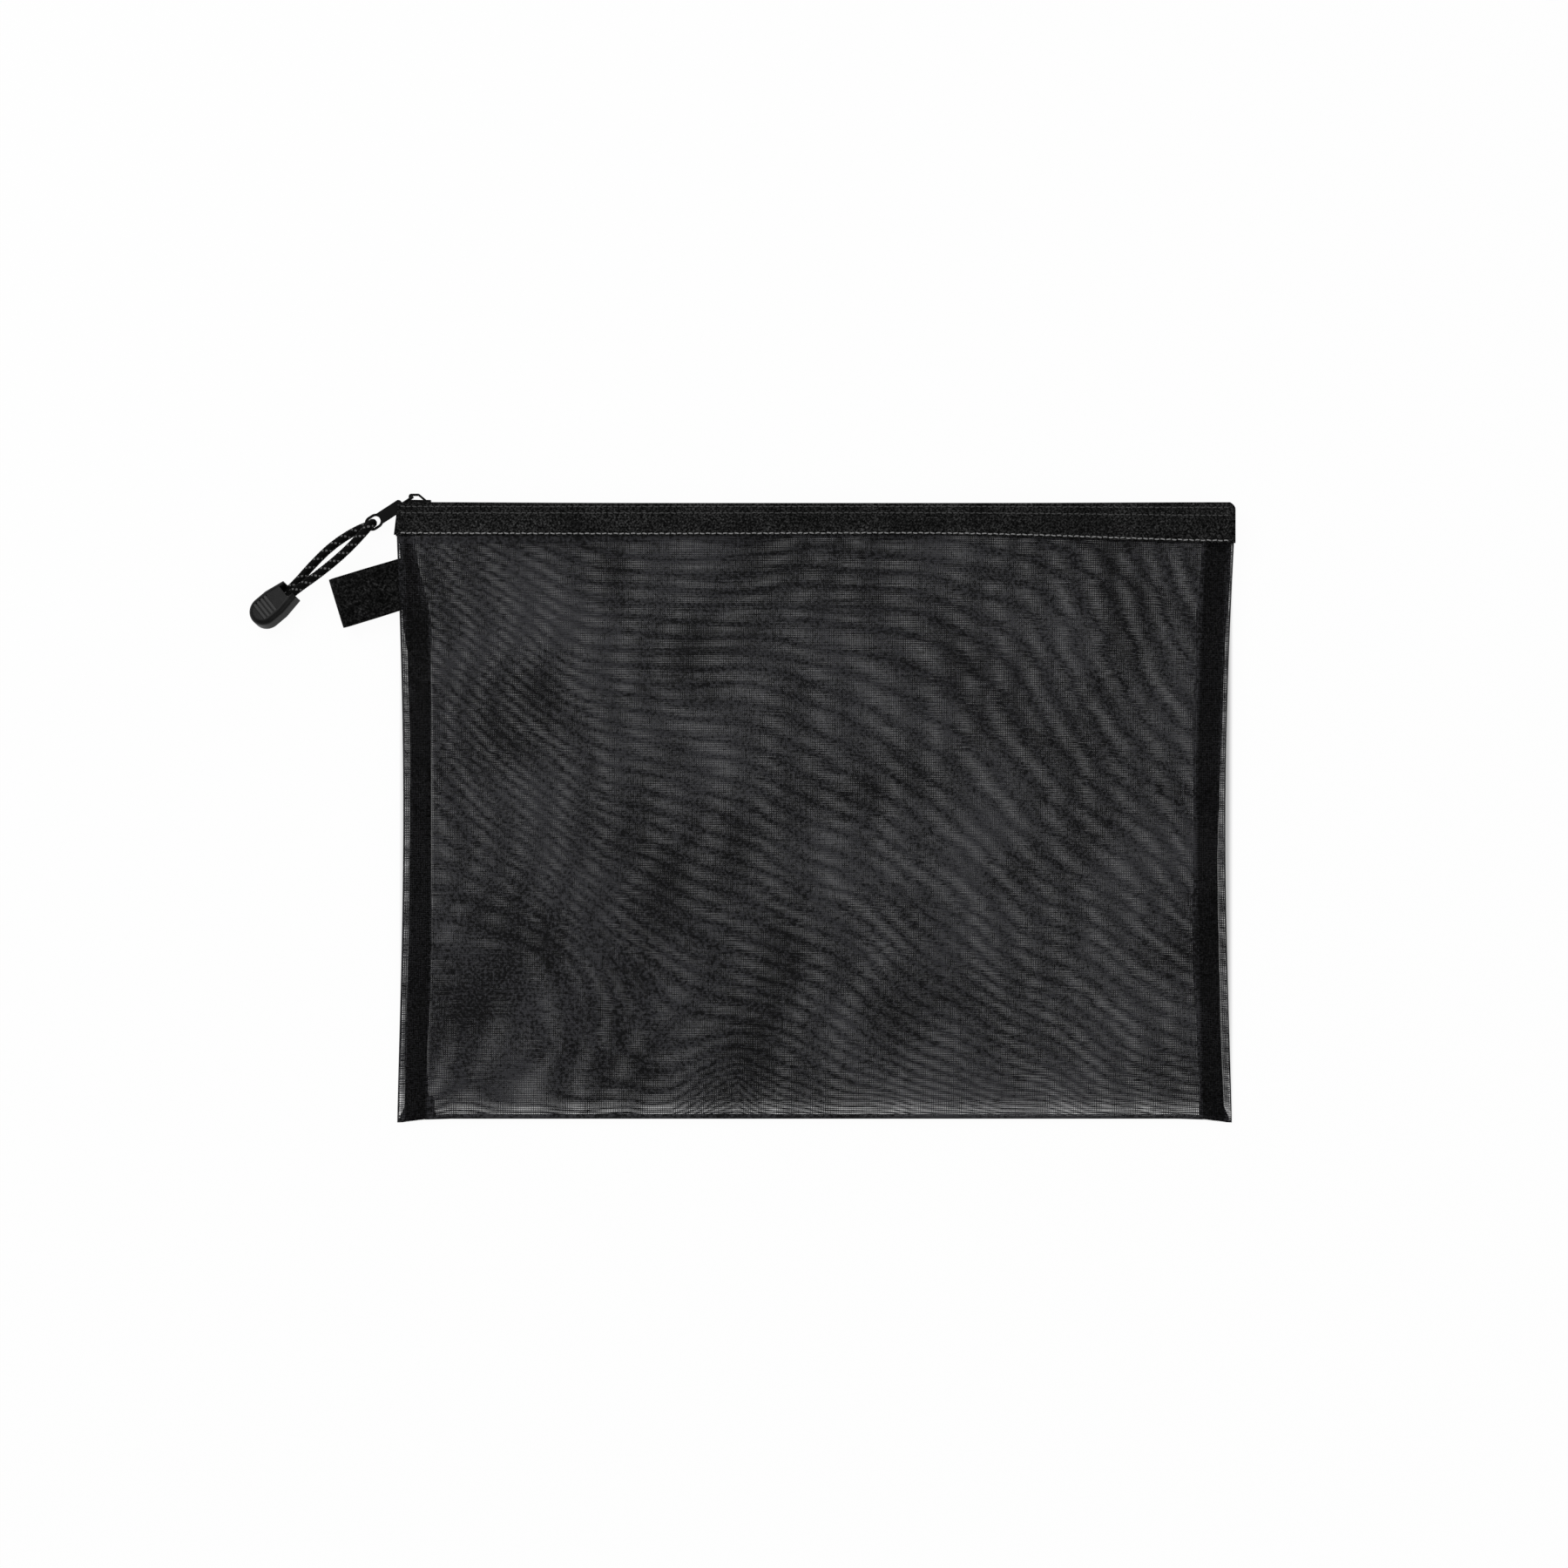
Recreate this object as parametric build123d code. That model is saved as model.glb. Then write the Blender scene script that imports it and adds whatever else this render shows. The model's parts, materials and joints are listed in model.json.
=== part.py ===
from build123d import *
import math
import os

# Zipped document wallet of open mesh, lying on its back.
# X runs along the zip, Y from the bottom fold to the zip, Z out of the front face.
# The origin is the middle of the flat back face. All lengths are millimetres.

os.makedirs("parts", exist_ok=True)

# Pouch
bag_width = 335.0
bag_height = 247.0
fold_depth = 4.0
mesh_thickness = 0.5
nose_along_shares = (0.0, 0.3, 1.0)
nose_depth_shares = (0.4, 0.8, 1.0)
overrun = 2.0
seat_gap = 0.05

# Openings of the mesh, drawn as a coarse net
net_columns = 12
net_rows = 8
net_margin = 5.0
net_open_share = 0.35

# Seam allowance and its binding
binding_width = 11.0
binding_offset = 3.8
binding_thickness = 0.5
binding_end_gap = 3.0

# Zip tapes
zip_depth = 10.6
tape_thickness = 0.5
tape_height = 14.8
tape_edge = 1.0
tape_overlap = 2.7
tape_tuck = 8.0
shoulder_rise = 1.4
shoulder_inset = 0.75
shoulder_width = 0.55
tape_bend_radius = 0.27
tape_corner_radius = 2.6

# Teeth
tooth_pitch = 1.7
tooth_neck = 0.5
tooth_head = 0.66
tooth_tip = 0.36
tooth_overlap = 0.45
tooth_root = 0.9
row_back = 2.1
row_spread = 1.1
coil_thickness = 1.4
coil_end_inset = 4.5

# Slider
slider_length = 9.5
slider_inset = 3.7
slider_wall = 0.5
plate_thickness = 0.9
plate_corner = 0.6
nose_width = 4.4
bevel_length = 1.5
zip_clearance = 0.2
post_length = 2.6
post_inset = 0.4
post_width = 0.9
split_length = 5.5
bail_wire = 0.9
bail_width = 1.7
bail_bend_radius = 0.7
window_height = 1.7
window_length = 3.1
bail_back_run = 3.1

# Puller
pull_angle = 213.0
ring_wire = 0.9
ring_width = 3.9
ring_length = 4.7
ring_play = 0.05
ring_leg_gap = 0.15
pull_width = 4.7
pull_thickness = 1.4
pull_corner = 1.3
eye_reach = 18.4
eye_length = 5.6
eye_width = 3.9
eye_rim = 1.0
cord_reach = 19.0

# Cord: route points from the eye, along the loop, across it and above the zip's middle plane
cord_diameter = 3.5
cord_angle = 220.0
cord_points = (
    (52.1, -0.8, 1.9),
    (41.0, -0.9, 2.0),
    (29.5, -2.0, 2.6),
    (17.5, -2.2, 3.2),
    (7.5, -1.3, 3.5),
    (0.0, 0.0, 3.5),
    (0.0, 0.0, -3.5),
    (7.5, 2.6, -3.5),
    (18.5, 3.9, -3.2),
    (30.0, 2.9, -2.6),
    (41.0, 1.0, -1.6),
    (52.1, 0.8, -1.5),
)
cord_run_share = 0.45

# Cord end
mouth_reach = 42.3
end_length = 19.6
end_width = 12.3
end_mouth_width = 9.2
end_taper = 8.0
end_thickness = 8.4
end_round = 2.2
end_lift = 0.3
end_roll = 22.0
bore_width = 7.0
bore_height = 6.6
bore_depth = 10.0
notch_width = 6.0
notch_depth = 2.6
grip_start = 8.6
grip_length = 7.0
grip_width = 8.0
grip_depth = 0.6
grip_bars = 4
grip_bar_share = 0.55

# Side loop
loop_drop = 32.8
loop_angle = 17.0
loop_width = 20.0
loop_thickness = 1.3
loop_reach = 26.0
loop_gap = 4.6
loop_neck = 2.5
loop_flare = 9.0
loop_bend_radius = 2.8
loop_tuck = 2.9
loop_clearance = 0.25

# Levels and places that follow from the sizes above
zip_z = zip_depth / 2
shoulder_y = bag_height / 2
fold_y = -bag_height / 2
fold_half = fold_depth / 2
tape_low_y = shoulder_y - tape_height
mesh_top_y = tape_low_y + tape_overlap
flat_top_y = shoulder_y - shoulder_rise
flat_mid_y = flat_top_y - tape_thickness / 2
coil_y = flat_top_y + seat_gap
plate_y = coil_y + coil_thickness + zip_clearance
plate_top_y = plate_y + plate_thickness
lower_plate_y = flat_top_y - tape_thickness - zip_clearance
slider_x = -bag_width / 2 + slider_inset
pivot_x = slider_x + bevel_length + bail_wire / 2 + ring_leg_gap
bail_y = plate_top_y + window_height
pivot_y = bail_y - ring_play - ring_wire / 2
loop_y = shoulder_y - loop_drop
seam_run = mesh_top_y - (fold_y + fold_half)
seam_rise = zip_z - fold_half


def mid_z(y):
    """Height of the seam plane, half way between the back and the front panel."""
    return fold_half + seam_rise * (y - fold_y - fold_half) / seam_run


def stadium(y, half_depth, inset):
    """Round-ended section of the pouch at height y, drawn in by inset all round."""
    plane = Plane(origin=(0, y, mid_z(y)), x_dir=(1, 0, 0), z_dir=(0, 1, 0))
    return plane * SlotOverall(bag_width - 2 * inset, 2 * (half_depth - inset))


def pouch_levels():
    """Section heights and half depths from the fold, over the flat back, to the tucked upper edge."""
    nose = [
        (fold_y + along * fold_half, depth * fold_half)
        for along, depth in zip(nose_along_shares, nose_depth_shares)
    ]
    tuck_y = tape_low_y - tape_tuck
    tuck = tape_thickness + seat_gap
    body = [
        (tuck_y, mid_z(tuck_y)),
        (tape_low_y - tape_thickness, mid_z(tape_low_y - tape_thickness) - tuck),
        (mesh_top_y, mid_z(mesh_top_y) - tuck),
    ]
    return nose + body


def seam_plane():
    """Tilted plane of both side seams: local X across the pouch, local Y up the seam."""
    along = Vector(0, seam_run, seam_rise).normalized()
    normal = Vector(1, 0, 0).cross(along)
    return Plane(origin=(0, fold_y + fold_half, fold_half), x_dir=(1, 0, 0), z_dir=normal)


def loop_plane():
    """Plane of the side loop's middle: local X out of the seam, local Y along the strip's width."""
    turn = math.radians(180 + loop_angle)
    out = (math.cos(turn), math.sin(turn), 0)
    return Plane(origin=(-bag_width / 2, loop_y, mid_z(loop_y)), x_dir=out, z_dir=(0, 0, 1))


def seam_edge_x(side):
    """Inner edge of the turned-in seam allowance on one side."""
    return side * (bag_width / 2 - binding_offset - binding_width + binding_thickness + seat_gap)


def seam_allowance(side):
    """Two layers of mesh turned into the pouch along a side seam."""
    wall_x = side * (bag_width / 2 - mesh_thickness / 2)
    edge_x = seam_edge_x(side)
    low = fold_half
    high = seam_run
    plate = Box(abs(wall_x - edge_x), high - low, 2 * mesh_thickness)
    return seam_plane() * Pos((wall_x + edge_x) / 2, (low + high) / 2, 0) * plate


def make_net_openings():
    """Square grid of prisms that opens both panels, inside the seams, the fold and the zip tapes."""
    side_x = bag_width / 2 - binding_offset - binding_width - net_margin
    low_y = fold_y + net_margin
    step_x = 2 * side_x / net_columns
    step_y = (tape_low_y - net_margin - low_y) / net_rows
    prism = Box(net_open_share * step_x, net_open_share * step_y, 2 * (zip_depth + overrun))
    centre = Pos(0, low_y + net_rows * step_y / 2, zip_z)
    return [centre * place * prism for place in GridLocations(step_x, step_y, net_columns, net_rows)]


def make_mesh_body():
    """Folded mesh sheet: a thin lofted shell, open at the zip and as a net, with both seam allowances."""
    levels = pouch_levels()
    outer = loft([stadium(y, half, 0) for y, half in levels], ruled=True)
    first_y, first_half = levels[0]
    hollow = [(first_y + mesh_thickness, first_half + mesh_thickness)]
    hollow += levels[2:]
    last_y, last_half = levels[-1]
    hollow.append((last_y + overrun, last_half))
    inner = loft([stadium(y, half, mesh_thickness) for y, half in hollow], ruled=True)
    body = outer - inner - make_net_openings()
    for side in (-1, 1):
        body += seam_allowance(side)
    slot_depth = 2 * loop_thickness + seat_gap + 2 * loop_clearance
    slot_in = loop_width / 2 + loop_tuck
    slot = Box(slot_in + loop_flare, loop_width + 2 * loop_clearance, slot_depth)
    slot = loop_plane() * Pos((loop_flare - slot_in) / 2, 0, 0) * slot
    keep_x = -bag_width / 2 + loop_tuck + loop_clearance
    side_room = Pos(keep_x - loop_width / 2, loop_y, zip_z) * Box(loop_width, 2 * loop_width, zip_depth)
    return body - (slot & side_room)


def make_binding(side):
    """Binding tape folded round the edge of one seam allowance."""
    gap = mesh_thickness + seat_gap
    outer = 2 * (gap + binding_thickness)
    edge_x = seam_edge_x(side) - side * (binding_thickness + seat_gap)
    length = seam_run - 2 * binding_end_gap
    tape = Box(binding_width, length, outer)
    room = Pos(side * binding_thickness, 0, 0) * Box(binding_width, length, 2 * gap)
    place = Pos(edge_x + side * binding_width / 2, binding_end_gap + length / 2, 0)
    return seam_plane() * place * (tape - room)


def make_tape(side):
    """Zip tape: flat under the teeth, up over the shoulder and down outside the mesh."""
    out = zip_depth / 2 - tape_thickness / 2
    top = shoulder_y - tape_thickness / 2
    path = [
        (flat_mid_y, tape_edge),
        (flat_mid_y, out - shoulder_inset),
        (top, out - shoulder_width),
        (top, out),
        (tape_low_y, out),
    ]
    line = FilletPolyline(*[(y, zip_z + side * u) for y, u in path], radius=tape_bend_radius)
    section = Plane.YZ * trace(line, tape_thickness)
    strip = extrude(section, amount=bag_width / 2, both=True)
    corners = Pos(0, tape_low_y) * RectangleRounded(bag_width, 2 * tape_height, tape_corner_radius)
    return strip & extrude(corners, amount=zip_depth)


def spread(x):
    """How far a row of teeth stands outside its closed place: zero until the slider parts the rows."""
    closed_x = slider_x + post_inset + split_length
    share = (closed_x - x) / split_length
    return row_spread * min(max(share, 0), 1)


def make_teeth(side):
    """One row of teeth: a comb whose heads reach past the middle between those of the other row."""
    start = slider_x + seat_gap
    count = int((bag_width / 2 - coil_end_inset - start) / tooth_pitch)
    first = start + tooth_pitch / 2 if side > 0 else start + tooth_pitch
    tooth = [
        (-tooth_neck / 2, tooth_root),
        (-tooth_head / 2, 0),
        (-tooth_tip / 2, -tooth_overlap),
        (tooth_tip / 2, -tooth_overlap),
        (tooth_head / 2, 0),
        (tooth_neck / 2, tooth_root),
    ]
    comb = []
    for number in range(count):
        x = first + number * tooth_pitch
        comb += [(x + along, across) for along, across in tooth]
    end = first + count * tooth_pitch - tooth_pitch / 2
    closed_x = slider_x + post_inset + split_length
    back = [(end, row_back), (closed_x, row_back), (slider_x + post_inset, row_back), (start, row_back)]
    outline = [(start, tooth_root)] + comb + [(end, tooth_root)] + back
    points = [(x, coil_y, zip_z + side * (u + spread(x))) for x, u in outline]
    face = make_face(Polyline(*points, close=True))
    return extrude(face, amount=coil_thickness, dir=(0, 1, 0))


def across_face(points, y):
    """Closed outline of (x, distance from the middle) points, mirrored, on the level y."""
    left = [(x, y, zip_z + u) for x, u in points]
    right = [(x, y, zip_z - u) for x, u in reversed(points)]
    return make_face(Polyline(*left, *right, close=True))


def slider_outline(inset):
    """Half outline of the slider from front to back: a shield, wide where the rows come in apart."""
    front_half = row_back + row_spread + zip_clearance + slider_wall - inset
    rear_half = row_back + zip_clearance + slider_wall - inset
    rear_x = slider_x + slider_length
    neck_x = slider_x + post_inset + split_length
    return [
        (slider_x, nose_width / 2 if inset == 0 else front_half),
        (slider_x + plate_corner, front_half),
        (slider_x + plate_corner + post_length / 2, front_half),
        (neck_x, rear_half),
        (rear_x, rear_half),
    ]


def make_slider():
    """Slider casting: two plates, flanges round the Y-shaped channel, wedge post and bail."""
    outline = slider_outline(0)
    upper = extrude(across_face(outline, plate_y), amount=plate_thickness, dir=(0, 1, 0))
    bevel = Polyline(
        (slider_x, plate_y, 0),
        (slider_x, plate_top_y, 0),
        (slider_x + bevel_length, plate_top_y, 0),
        close=True,
    )
    upper -= extrude(make_face(bevel), amount=zip_depth, dir=(0, 0, 1))
    lower = extrude(across_face(outline, lower_plate_y), amount=plate_thickness, dir=(0, -1, 0))
    flange_y = flat_top_y + zip_clearance
    flange_height = plate_y - flange_y
    flange = extrude(across_face(outline, flange_y), amount=flange_height, dir=(0, 1, 0))
    flange -= extrude(across_face(slider_outline(slider_wall), flange_y), amount=flange_height, dir=(0, 1, 0))
    post_x = slider_x + post_inset
    post = [(post_x, post_width / 2), (post_x + post_length / 3, post_width / 2), (post_x + post_length, 0)]
    left = [(x, lower_plate_y, zip_z + u) for x, u in post]
    right = [(x, lower_plate_y, zip_z - u) for x, u in reversed(post[:-1])]
    wedge = make_face(Polyline(*left, *right, close=True))
    wedge = extrude(wedge, amount=plate_y - lower_plate_y, dir=(0, 1, 0))
    return upper + lower + flange + wedge + make_bail()


def make_bail():
    """Arch over the upper plate, with the window that the puller's ring turns in."""
    leg_x = pivot_x - ring_wire / 2 - ring_leg_gap - bail_wire / 2
    top_y = bail_y + bail_wire / 2
    back_x = leg_x + bail_wire / 2 + window_length
    line = FilletPolyline(
        (leg_x, plate_y + plate_thickness / 3),
        (leg_x, top_y),
        (back_x, top_y),
        (back_x + bail_back_run, plate_y + plate_thickness / 2),
        radius=bail_bend_radius,
    )
    arch = extrude(trace(line, bail_wire), amount=bail_width / 2, both=True)
    return Pos(0, 0, zip_z) * arch


def pull_plane():
    """Middle plane of the puller: origin on the ring's bar, local X towards the cord."""
    turn = math.radians(pull_angle)
    along = (math.cos(turn), math.sin(turn), 0)
    return Plane(origin=(pivot_x, pivot_y, zip_z), x_dir=along, z_dir=(0, 0, 1))


def make_pull_tab():
    """Puller: a ring that straddles the bail, a flat plate square to it, and an eye for the cord."""
    side_z = ring_width / 2 - ring_wire / 2
    bar = Cylinder(ring_wire / 2, 2 * side_z)
    leg = Rot(0, 90, 0) * Cylinder(ring_wire / 2, ring_length)
    ring = bar
    for z in (-side_z, side_z):
        ring += Pos(ring_length / 2, 0, z) * leg
        ring += Pos(0, 0, z) * Sphere(ring_wire / 2)
    ring += Pos(ring_length, 0, 0) * Box(ring_wire, ring_wire, ring_width)
    plate_length = eye_reach - ring_length
    plate = Pos(ring_length + plate_length / 2, 0) * RectangleRounded(plate_length, pull_width, pull_corner)
    eye = Pos(eye_reach, 0) * SlotOverall(eye_length + 2 * eye_rim, eye_width + 2 * eye_rim)
    hole = Pos(eye_reach, 0) * SlotOverall(eye_length, eye_width)
    plate = extrude(plate + eye - hole, amount=pull_thickness / 2, both=True)
    return pull_plane() * (ring + plate)


def cord_plane():
    """Frame of the cord loop: origin in the eye, local X along the loop, local Y across it."""
    eye = pull_plane().from_local_coords(Vector(cord_reach, 0, 0))
    turn = math.radians(cord_angle)
    along = (math.cos(turn), math.sin(turn), 0)
    return Plane(origin=eye, x_dir=along, z_dir=(0, 0, 1))


def cord_route():
    """Route of the cord in the part's frame."""
    plane = cord_plane()
    return [plane.from_local_coords(Vector(along, -across, up)) for along, across, up in cord_points]


def bend_radii(points):
    """Largest even radius at each corner: a share of the shorter run over the half turn's tangent."""
    radii = []
    for before, corner, after in zip(points, points[1:], points[2:]):
        run_in = corner - before
        run_out = after - corner
        half_turn = math.radians(run_in.get_angle(run_out)) / 2
        shorter = min(run_in.length, run_out.length)
        radii.append(cord_run_share * shorter / math.tan(half_turn))
    return radii


def make_cord():
    """Braided cord of the pull: out of the cord end, through the eye and back."""
    points = cord_route()
    radii = bend_radii(points)
    path = FilletPolyline(*points, radius=radii)
    start = Plane(origin=path @ 0, z_dir=path % 0)
    cord = sweep(start * Circle(cord_diameter / 2), path=path)
    section = math.pi * cord_diameter**2 / 4
    print("cord bend radii", [round(radius, 1) for radius in radii])
    print("cord length", round(path.length, 2), "volume over section times length",
          round(cord.volume / (section * path.length), 5))
    return cord


def end_plane():
    """Frame of the cord end: origin in its mouth, local X towards the tip, rolled on its axis."""
    plane = cord_plane()
    mouth = plane.from_local_coords(Vector(mouth_reach, 0, end_lift))
    roll = math.radians(end_roll)
    normal = plane.z_dir * math.cos(roll) - plane.y_dir * math.sin(roll)
    return Plane(origin=mouth, x_dir=plane.x_dir, z_dir=normal)


def make_cord_end(side):
    """One half of the moulded cord end: tapered mouth, round tip, bore for the cord, ridged grip."""
    half = end_width / 2
    mouth = end_mouth_width / 2
    straight = end_length - half
    outline = Polyline((straight, half), (end_taper, half), (0, mouth), (0, -mouth), (end_taper, -half),
                       (straight, -half))
    tip = ThreePointArc((straight, -half), (end_length, 0), (straight, half))
    shell = extrude(make_face(outline + tip), amount=end_thickness / 2)
    top = shell.faces().sort_by(Axis.Z)[-1]
    rim = top.edges().filter_by(lambda edge: edge.center().X > seat_gap)
    shell = fillet(rim, end_round)
    shell -= Pos(bore_depth / 2, 0, 0) * Box(bore_depth, bore_width, bore_height)
    shell -= Pos(notch_depth / 2, 0, end_thickness / 2) * Box(notch_depth, notch_width, end_thickness)
    grip = Pos(grip_start + grip_length / 2, 0, end_thickness / 2)
    shell -= grip * Box(grip_length, grip_width, 2 * grip_depth)
    step = grip_length / grip_bars
    bar = Box(step * grip_bar_share, grip_width, grip_depth)
    for number in range(grip_bars):
        x = grip_start + (number + grip_bar_share) * step
        shell += Pos(x, 0, end_thickness / 2 - grip_depth / 2) * bar
    turn = 0 if side > 0 else 180
    return end_plane() * Rot(turn, 0, 0) * shell


def make_side_loop():
    """Webbing strip folded into a loop, both ends in the left seam."""
    layer = (loop_thickness + seat_gap) / 2
    wide = (loop_gap + loop_thickness) / 2
    reach = loop_reach - loop_thickness / 2
    start = -(loop_tuck + loop_width / 2)
    half = [(start, layer), (loop_neck, layer), (loop_flare, wide), (reach, wide)]
    line = FilletPolyline(*half, *[(x, -z) for x, z in reversed(half)], radius=loop_bend_radius)
    plane = loop_plane()
    section_plane = Plane(origin=plane.origin, x_dir=plane.x_dir, z_dir=plane.x_dir.cross(Vector(0, 0, 1)))
    strip = extrude(section_plane * trace(line, loop_thickness), amount=loop_width / 2, both=True)
    inner_x = -bag_width / 2 + loop_tuck
    trim = Pos(inner_x + loop_reach, loop_y, zip_z) * Box(2 * loop_reach, 2 * loop_reach, 2 * zip_depth)
    return strip - trim


pieces = {
    "mesh_body": make_mesh_body(),
    "left_binding": make_binding(-1),
    "right_binding": make_binding(1),
    "front_zip_tape": make_tape(1),
    "back_zip_tape": make_tape(-1),
    "front_coil": make_teeth(1),
    "back_coil": make_teeth(-1),
    "slider_body": make_slider(),
    "pull_tab": make_pull_tab(),
    "pull_cord": make_cord(),
    "cord_end_upper": make_cord_end(1),
    "cord_end_lower": make_cord_end(-1),
    "side_loop": make_side_loop(),
}

for name, shape in pieces.items():
    export_step(shape, f"parts/{name}.step")
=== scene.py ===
import json
import logging
import math
from dataclasses import dataclass
from enum import Enum
from typing import Any, Optional, Sequence, Union

import bpy
import numpy as np
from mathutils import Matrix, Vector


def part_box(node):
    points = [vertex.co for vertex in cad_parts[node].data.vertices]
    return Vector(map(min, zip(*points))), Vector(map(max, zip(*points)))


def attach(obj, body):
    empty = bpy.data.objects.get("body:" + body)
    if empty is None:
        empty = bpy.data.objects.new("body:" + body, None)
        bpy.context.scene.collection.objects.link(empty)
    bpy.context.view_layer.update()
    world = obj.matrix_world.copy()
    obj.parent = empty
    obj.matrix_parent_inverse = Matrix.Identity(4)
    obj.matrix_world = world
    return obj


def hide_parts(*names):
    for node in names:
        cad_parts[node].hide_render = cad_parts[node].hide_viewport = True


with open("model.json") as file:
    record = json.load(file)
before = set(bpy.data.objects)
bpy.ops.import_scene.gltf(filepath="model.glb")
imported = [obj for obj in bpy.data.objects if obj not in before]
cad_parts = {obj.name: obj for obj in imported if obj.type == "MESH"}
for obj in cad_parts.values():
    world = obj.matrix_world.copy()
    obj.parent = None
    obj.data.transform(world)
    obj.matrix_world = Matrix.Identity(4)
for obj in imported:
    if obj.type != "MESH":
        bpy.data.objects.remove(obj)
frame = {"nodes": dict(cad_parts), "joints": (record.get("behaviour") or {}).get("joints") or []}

LOG = logging.getLogger("document_wallet")
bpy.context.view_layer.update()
MM = 0.001
TURN = 2 * math.pi
Array = np.ndarray
Place = Union[Array, float]


# Places that come from the frame

def node_box(node: str) -> tuple[Array, Array]:
    """Lowest and highest corner of a node of the frame, in millimetres.

    Args:
        node: Name of the node.

    Returns:
        The two corners as arrays of three numbers.
    """
    low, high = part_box(node)
    return np.array(low) / MM, np.array(high) / MM


def joint_place(name: str) -> Array:
    """Place of a joint of the frame, in millimetres."""
    joint = next(joint for joint in frame["joints"] if joint["name"] == name)
    return np.array(joint["pos_m"]) / MM


# Formulas that the shapes are made of

def unit(vectors: Array) -> Array:
    """Vectors of length one along the last axis."""
    return vectors / np.linalg.norm(vectors, axis=-1, keepdims=True)


def smooth_step(value: Place, low: float, high: float) -> Place:
    """Zero below low, one above high, and a cubic ease between them."""
    share = np.clip((value - low) / (high - low), 0, 1)
    return share * share * (3 - 2 * share)


@dataclass(frozen=True)
class Wave:
    """A sine wave: its size, the lengths along X and Y that turn it by a radian, and its start."""

    size: float
    along: float
    up: float = math.inf
    start: float = 0.0

    def at(self, x: Place, y: Place = 0.0) -> Place:
        """Height of the wave at x and y."""
        return self.size * np.sin(x / self.along + y / self.up + self.start)


@dataclass(frozen=True)
class Bell:
    """A bell curve: its height, its middle, and its reach along X and Y."""

    height: float
    x: float
    reach_x: float
    y: float = 0.0
    reach_y: float = math.inf

    def at(self, x: Place, y: Place = 0.0) -> Place:
        """Height of the bell at x and y."""
        off_x, off_y = (x - self.x) / self.reach_x, (y - self.y) / self.reach_y
        return self.height * np.exp(-off_x ** 2 - off_y ** 2)


@dataclass(frozen=True)
class Ease:
    """A smooth change: nothing before low, and all of its size past high."""

    size: float
    low: float
    high: float

    def at(self, value: Place) -> Place:
        """How much of the change is made at a value."""
        return self.size * smooth_step(value, self.low, self.high)


@dataclass(frozen=True)
class Ramp:
    """A slope from a start onwards: nothing before it, even growth after it, and a soft bend between."""

    slope: float
    start: float
    bend: float

    def at(self, value: Place) -> Place:
        """Height of the ramp at a value: the soft maximum of zero and the slope's straight line."""
        return self.slope * self.bend * np.logaddexp(0, (value - self.start) / self.bend)


def total(terms: Sequence[Any], *places: Place) -> Place:
    """Sum of waves, bells, eases or ramps at the same places."""
    return sum(term.at(*places) for term in terms)


# Grids of points and their faces

def wall_quads(rings: int, sides: int) -> Array:
    """Quads of the wall between rings of points that are numbered ring by ring.

    Args:
        rings: Number of rings.
        sides: Points in each ring, the last of which joins the first.

    Returns:
        An array of four point numbers for each quad.
    """
    ring = np.arange(rings - 1)[:, None] * sides
    side = np.arange(sides)[None, :]
    after = (side + 1) % sides
    corners = (ring + side, ring + after, ring + sides + after, ring + sides + side)
    return np.stack(corners, axis=-1).reshape(-1, 4)


def many_faces(faces: Array, points: int, copies: int) -> Array:
    """The faces of one grid repeated for several grids whose points follow each other."""
    steps = np.arange(copies)[:, None, None] * points
    return (faces[None] + steps).reshape(-1, faces.shape[-1])


def end_caps(rings: int, sides: int) -> Array:
    """Quads that close both ends of a tube.

    Args:
        rings: Rings in the tube.
        sides: Points in each ring, an even number.

    Returns:
        Quads that fan across the first ring and, turned round, across the last.
    """
    step = np.arange(1, sides - 1, 2)
    first = np.stack((np.zeros_like(step), step + 2, step + 1, step), axis=-1) % sides
    last = first[:, ::-1] + (rings - 1) * sides
    return np.concatenate((first, last))


def rod_quads(copies: int, rings: int, sides: int) -> Array:
    """Quads of closed rods.

    Args:
        copies: Number of rods.
        rings: Rings in each rod.
        sides: Points in each ring, an even number.

    Returns:
        The quads of their walls, and then those of their ends.
    """
    kinds = (wall_quads(rings, sides), end_caps(rings, sides))
    return np.concatenate([many_faces(quads, rings * sides, copies) for quads in kinds])


def strip_quads(rows: int, columns: int, turned: bool) -> Array:
    """Quads of a closed strip whose section is a ring: out along one face and back along the other.

    Args:
        rows: Number of sections.
        columns: Points in each section.
        turned: Whether the faces are turned round.

    Returns:
        The quads of its wall, and of both ends, where they join each point to the one across the thickness.
    """
    step = np.arange(columns // 2 - 1)
    cap = np.stack((step, step + 1, columns - 2 - step, columns - 1 - step), axis=-1)
    quads = np.concatenate((wall_quads(rows, columns), cap[:, ::-1], cap + (rows - 1) * columns))
    return quads[:, ::-1] if turned else quads


def tube_points(path: Array, side: Array, up: Array, profile: Array,
                width: Optional[Array] = None) -> Array:
    """A profile carried along paths.

    Each point is the path's point, plus the profile's first number along side, plus its second along up.

    Args:
        path: Path points, shaped (..., 3).
        side: Unit vectors across the path, shaped as path.
        up: Unit vectors square to both, shaped as path.
        profile: Points of the section, shaped (k, 2).
        width: Factor on the profile's first number at each path point.

    Returns:
        Points shaped (..., k, 3).
    """
    if width is not None:
        side = side * width[..., None]
    across = profile[:, 0, None] * side[..., None, :]
    above = profile[:, 1, None] * up[..., None, :]
    return path[..., None, :] + across + above


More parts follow.
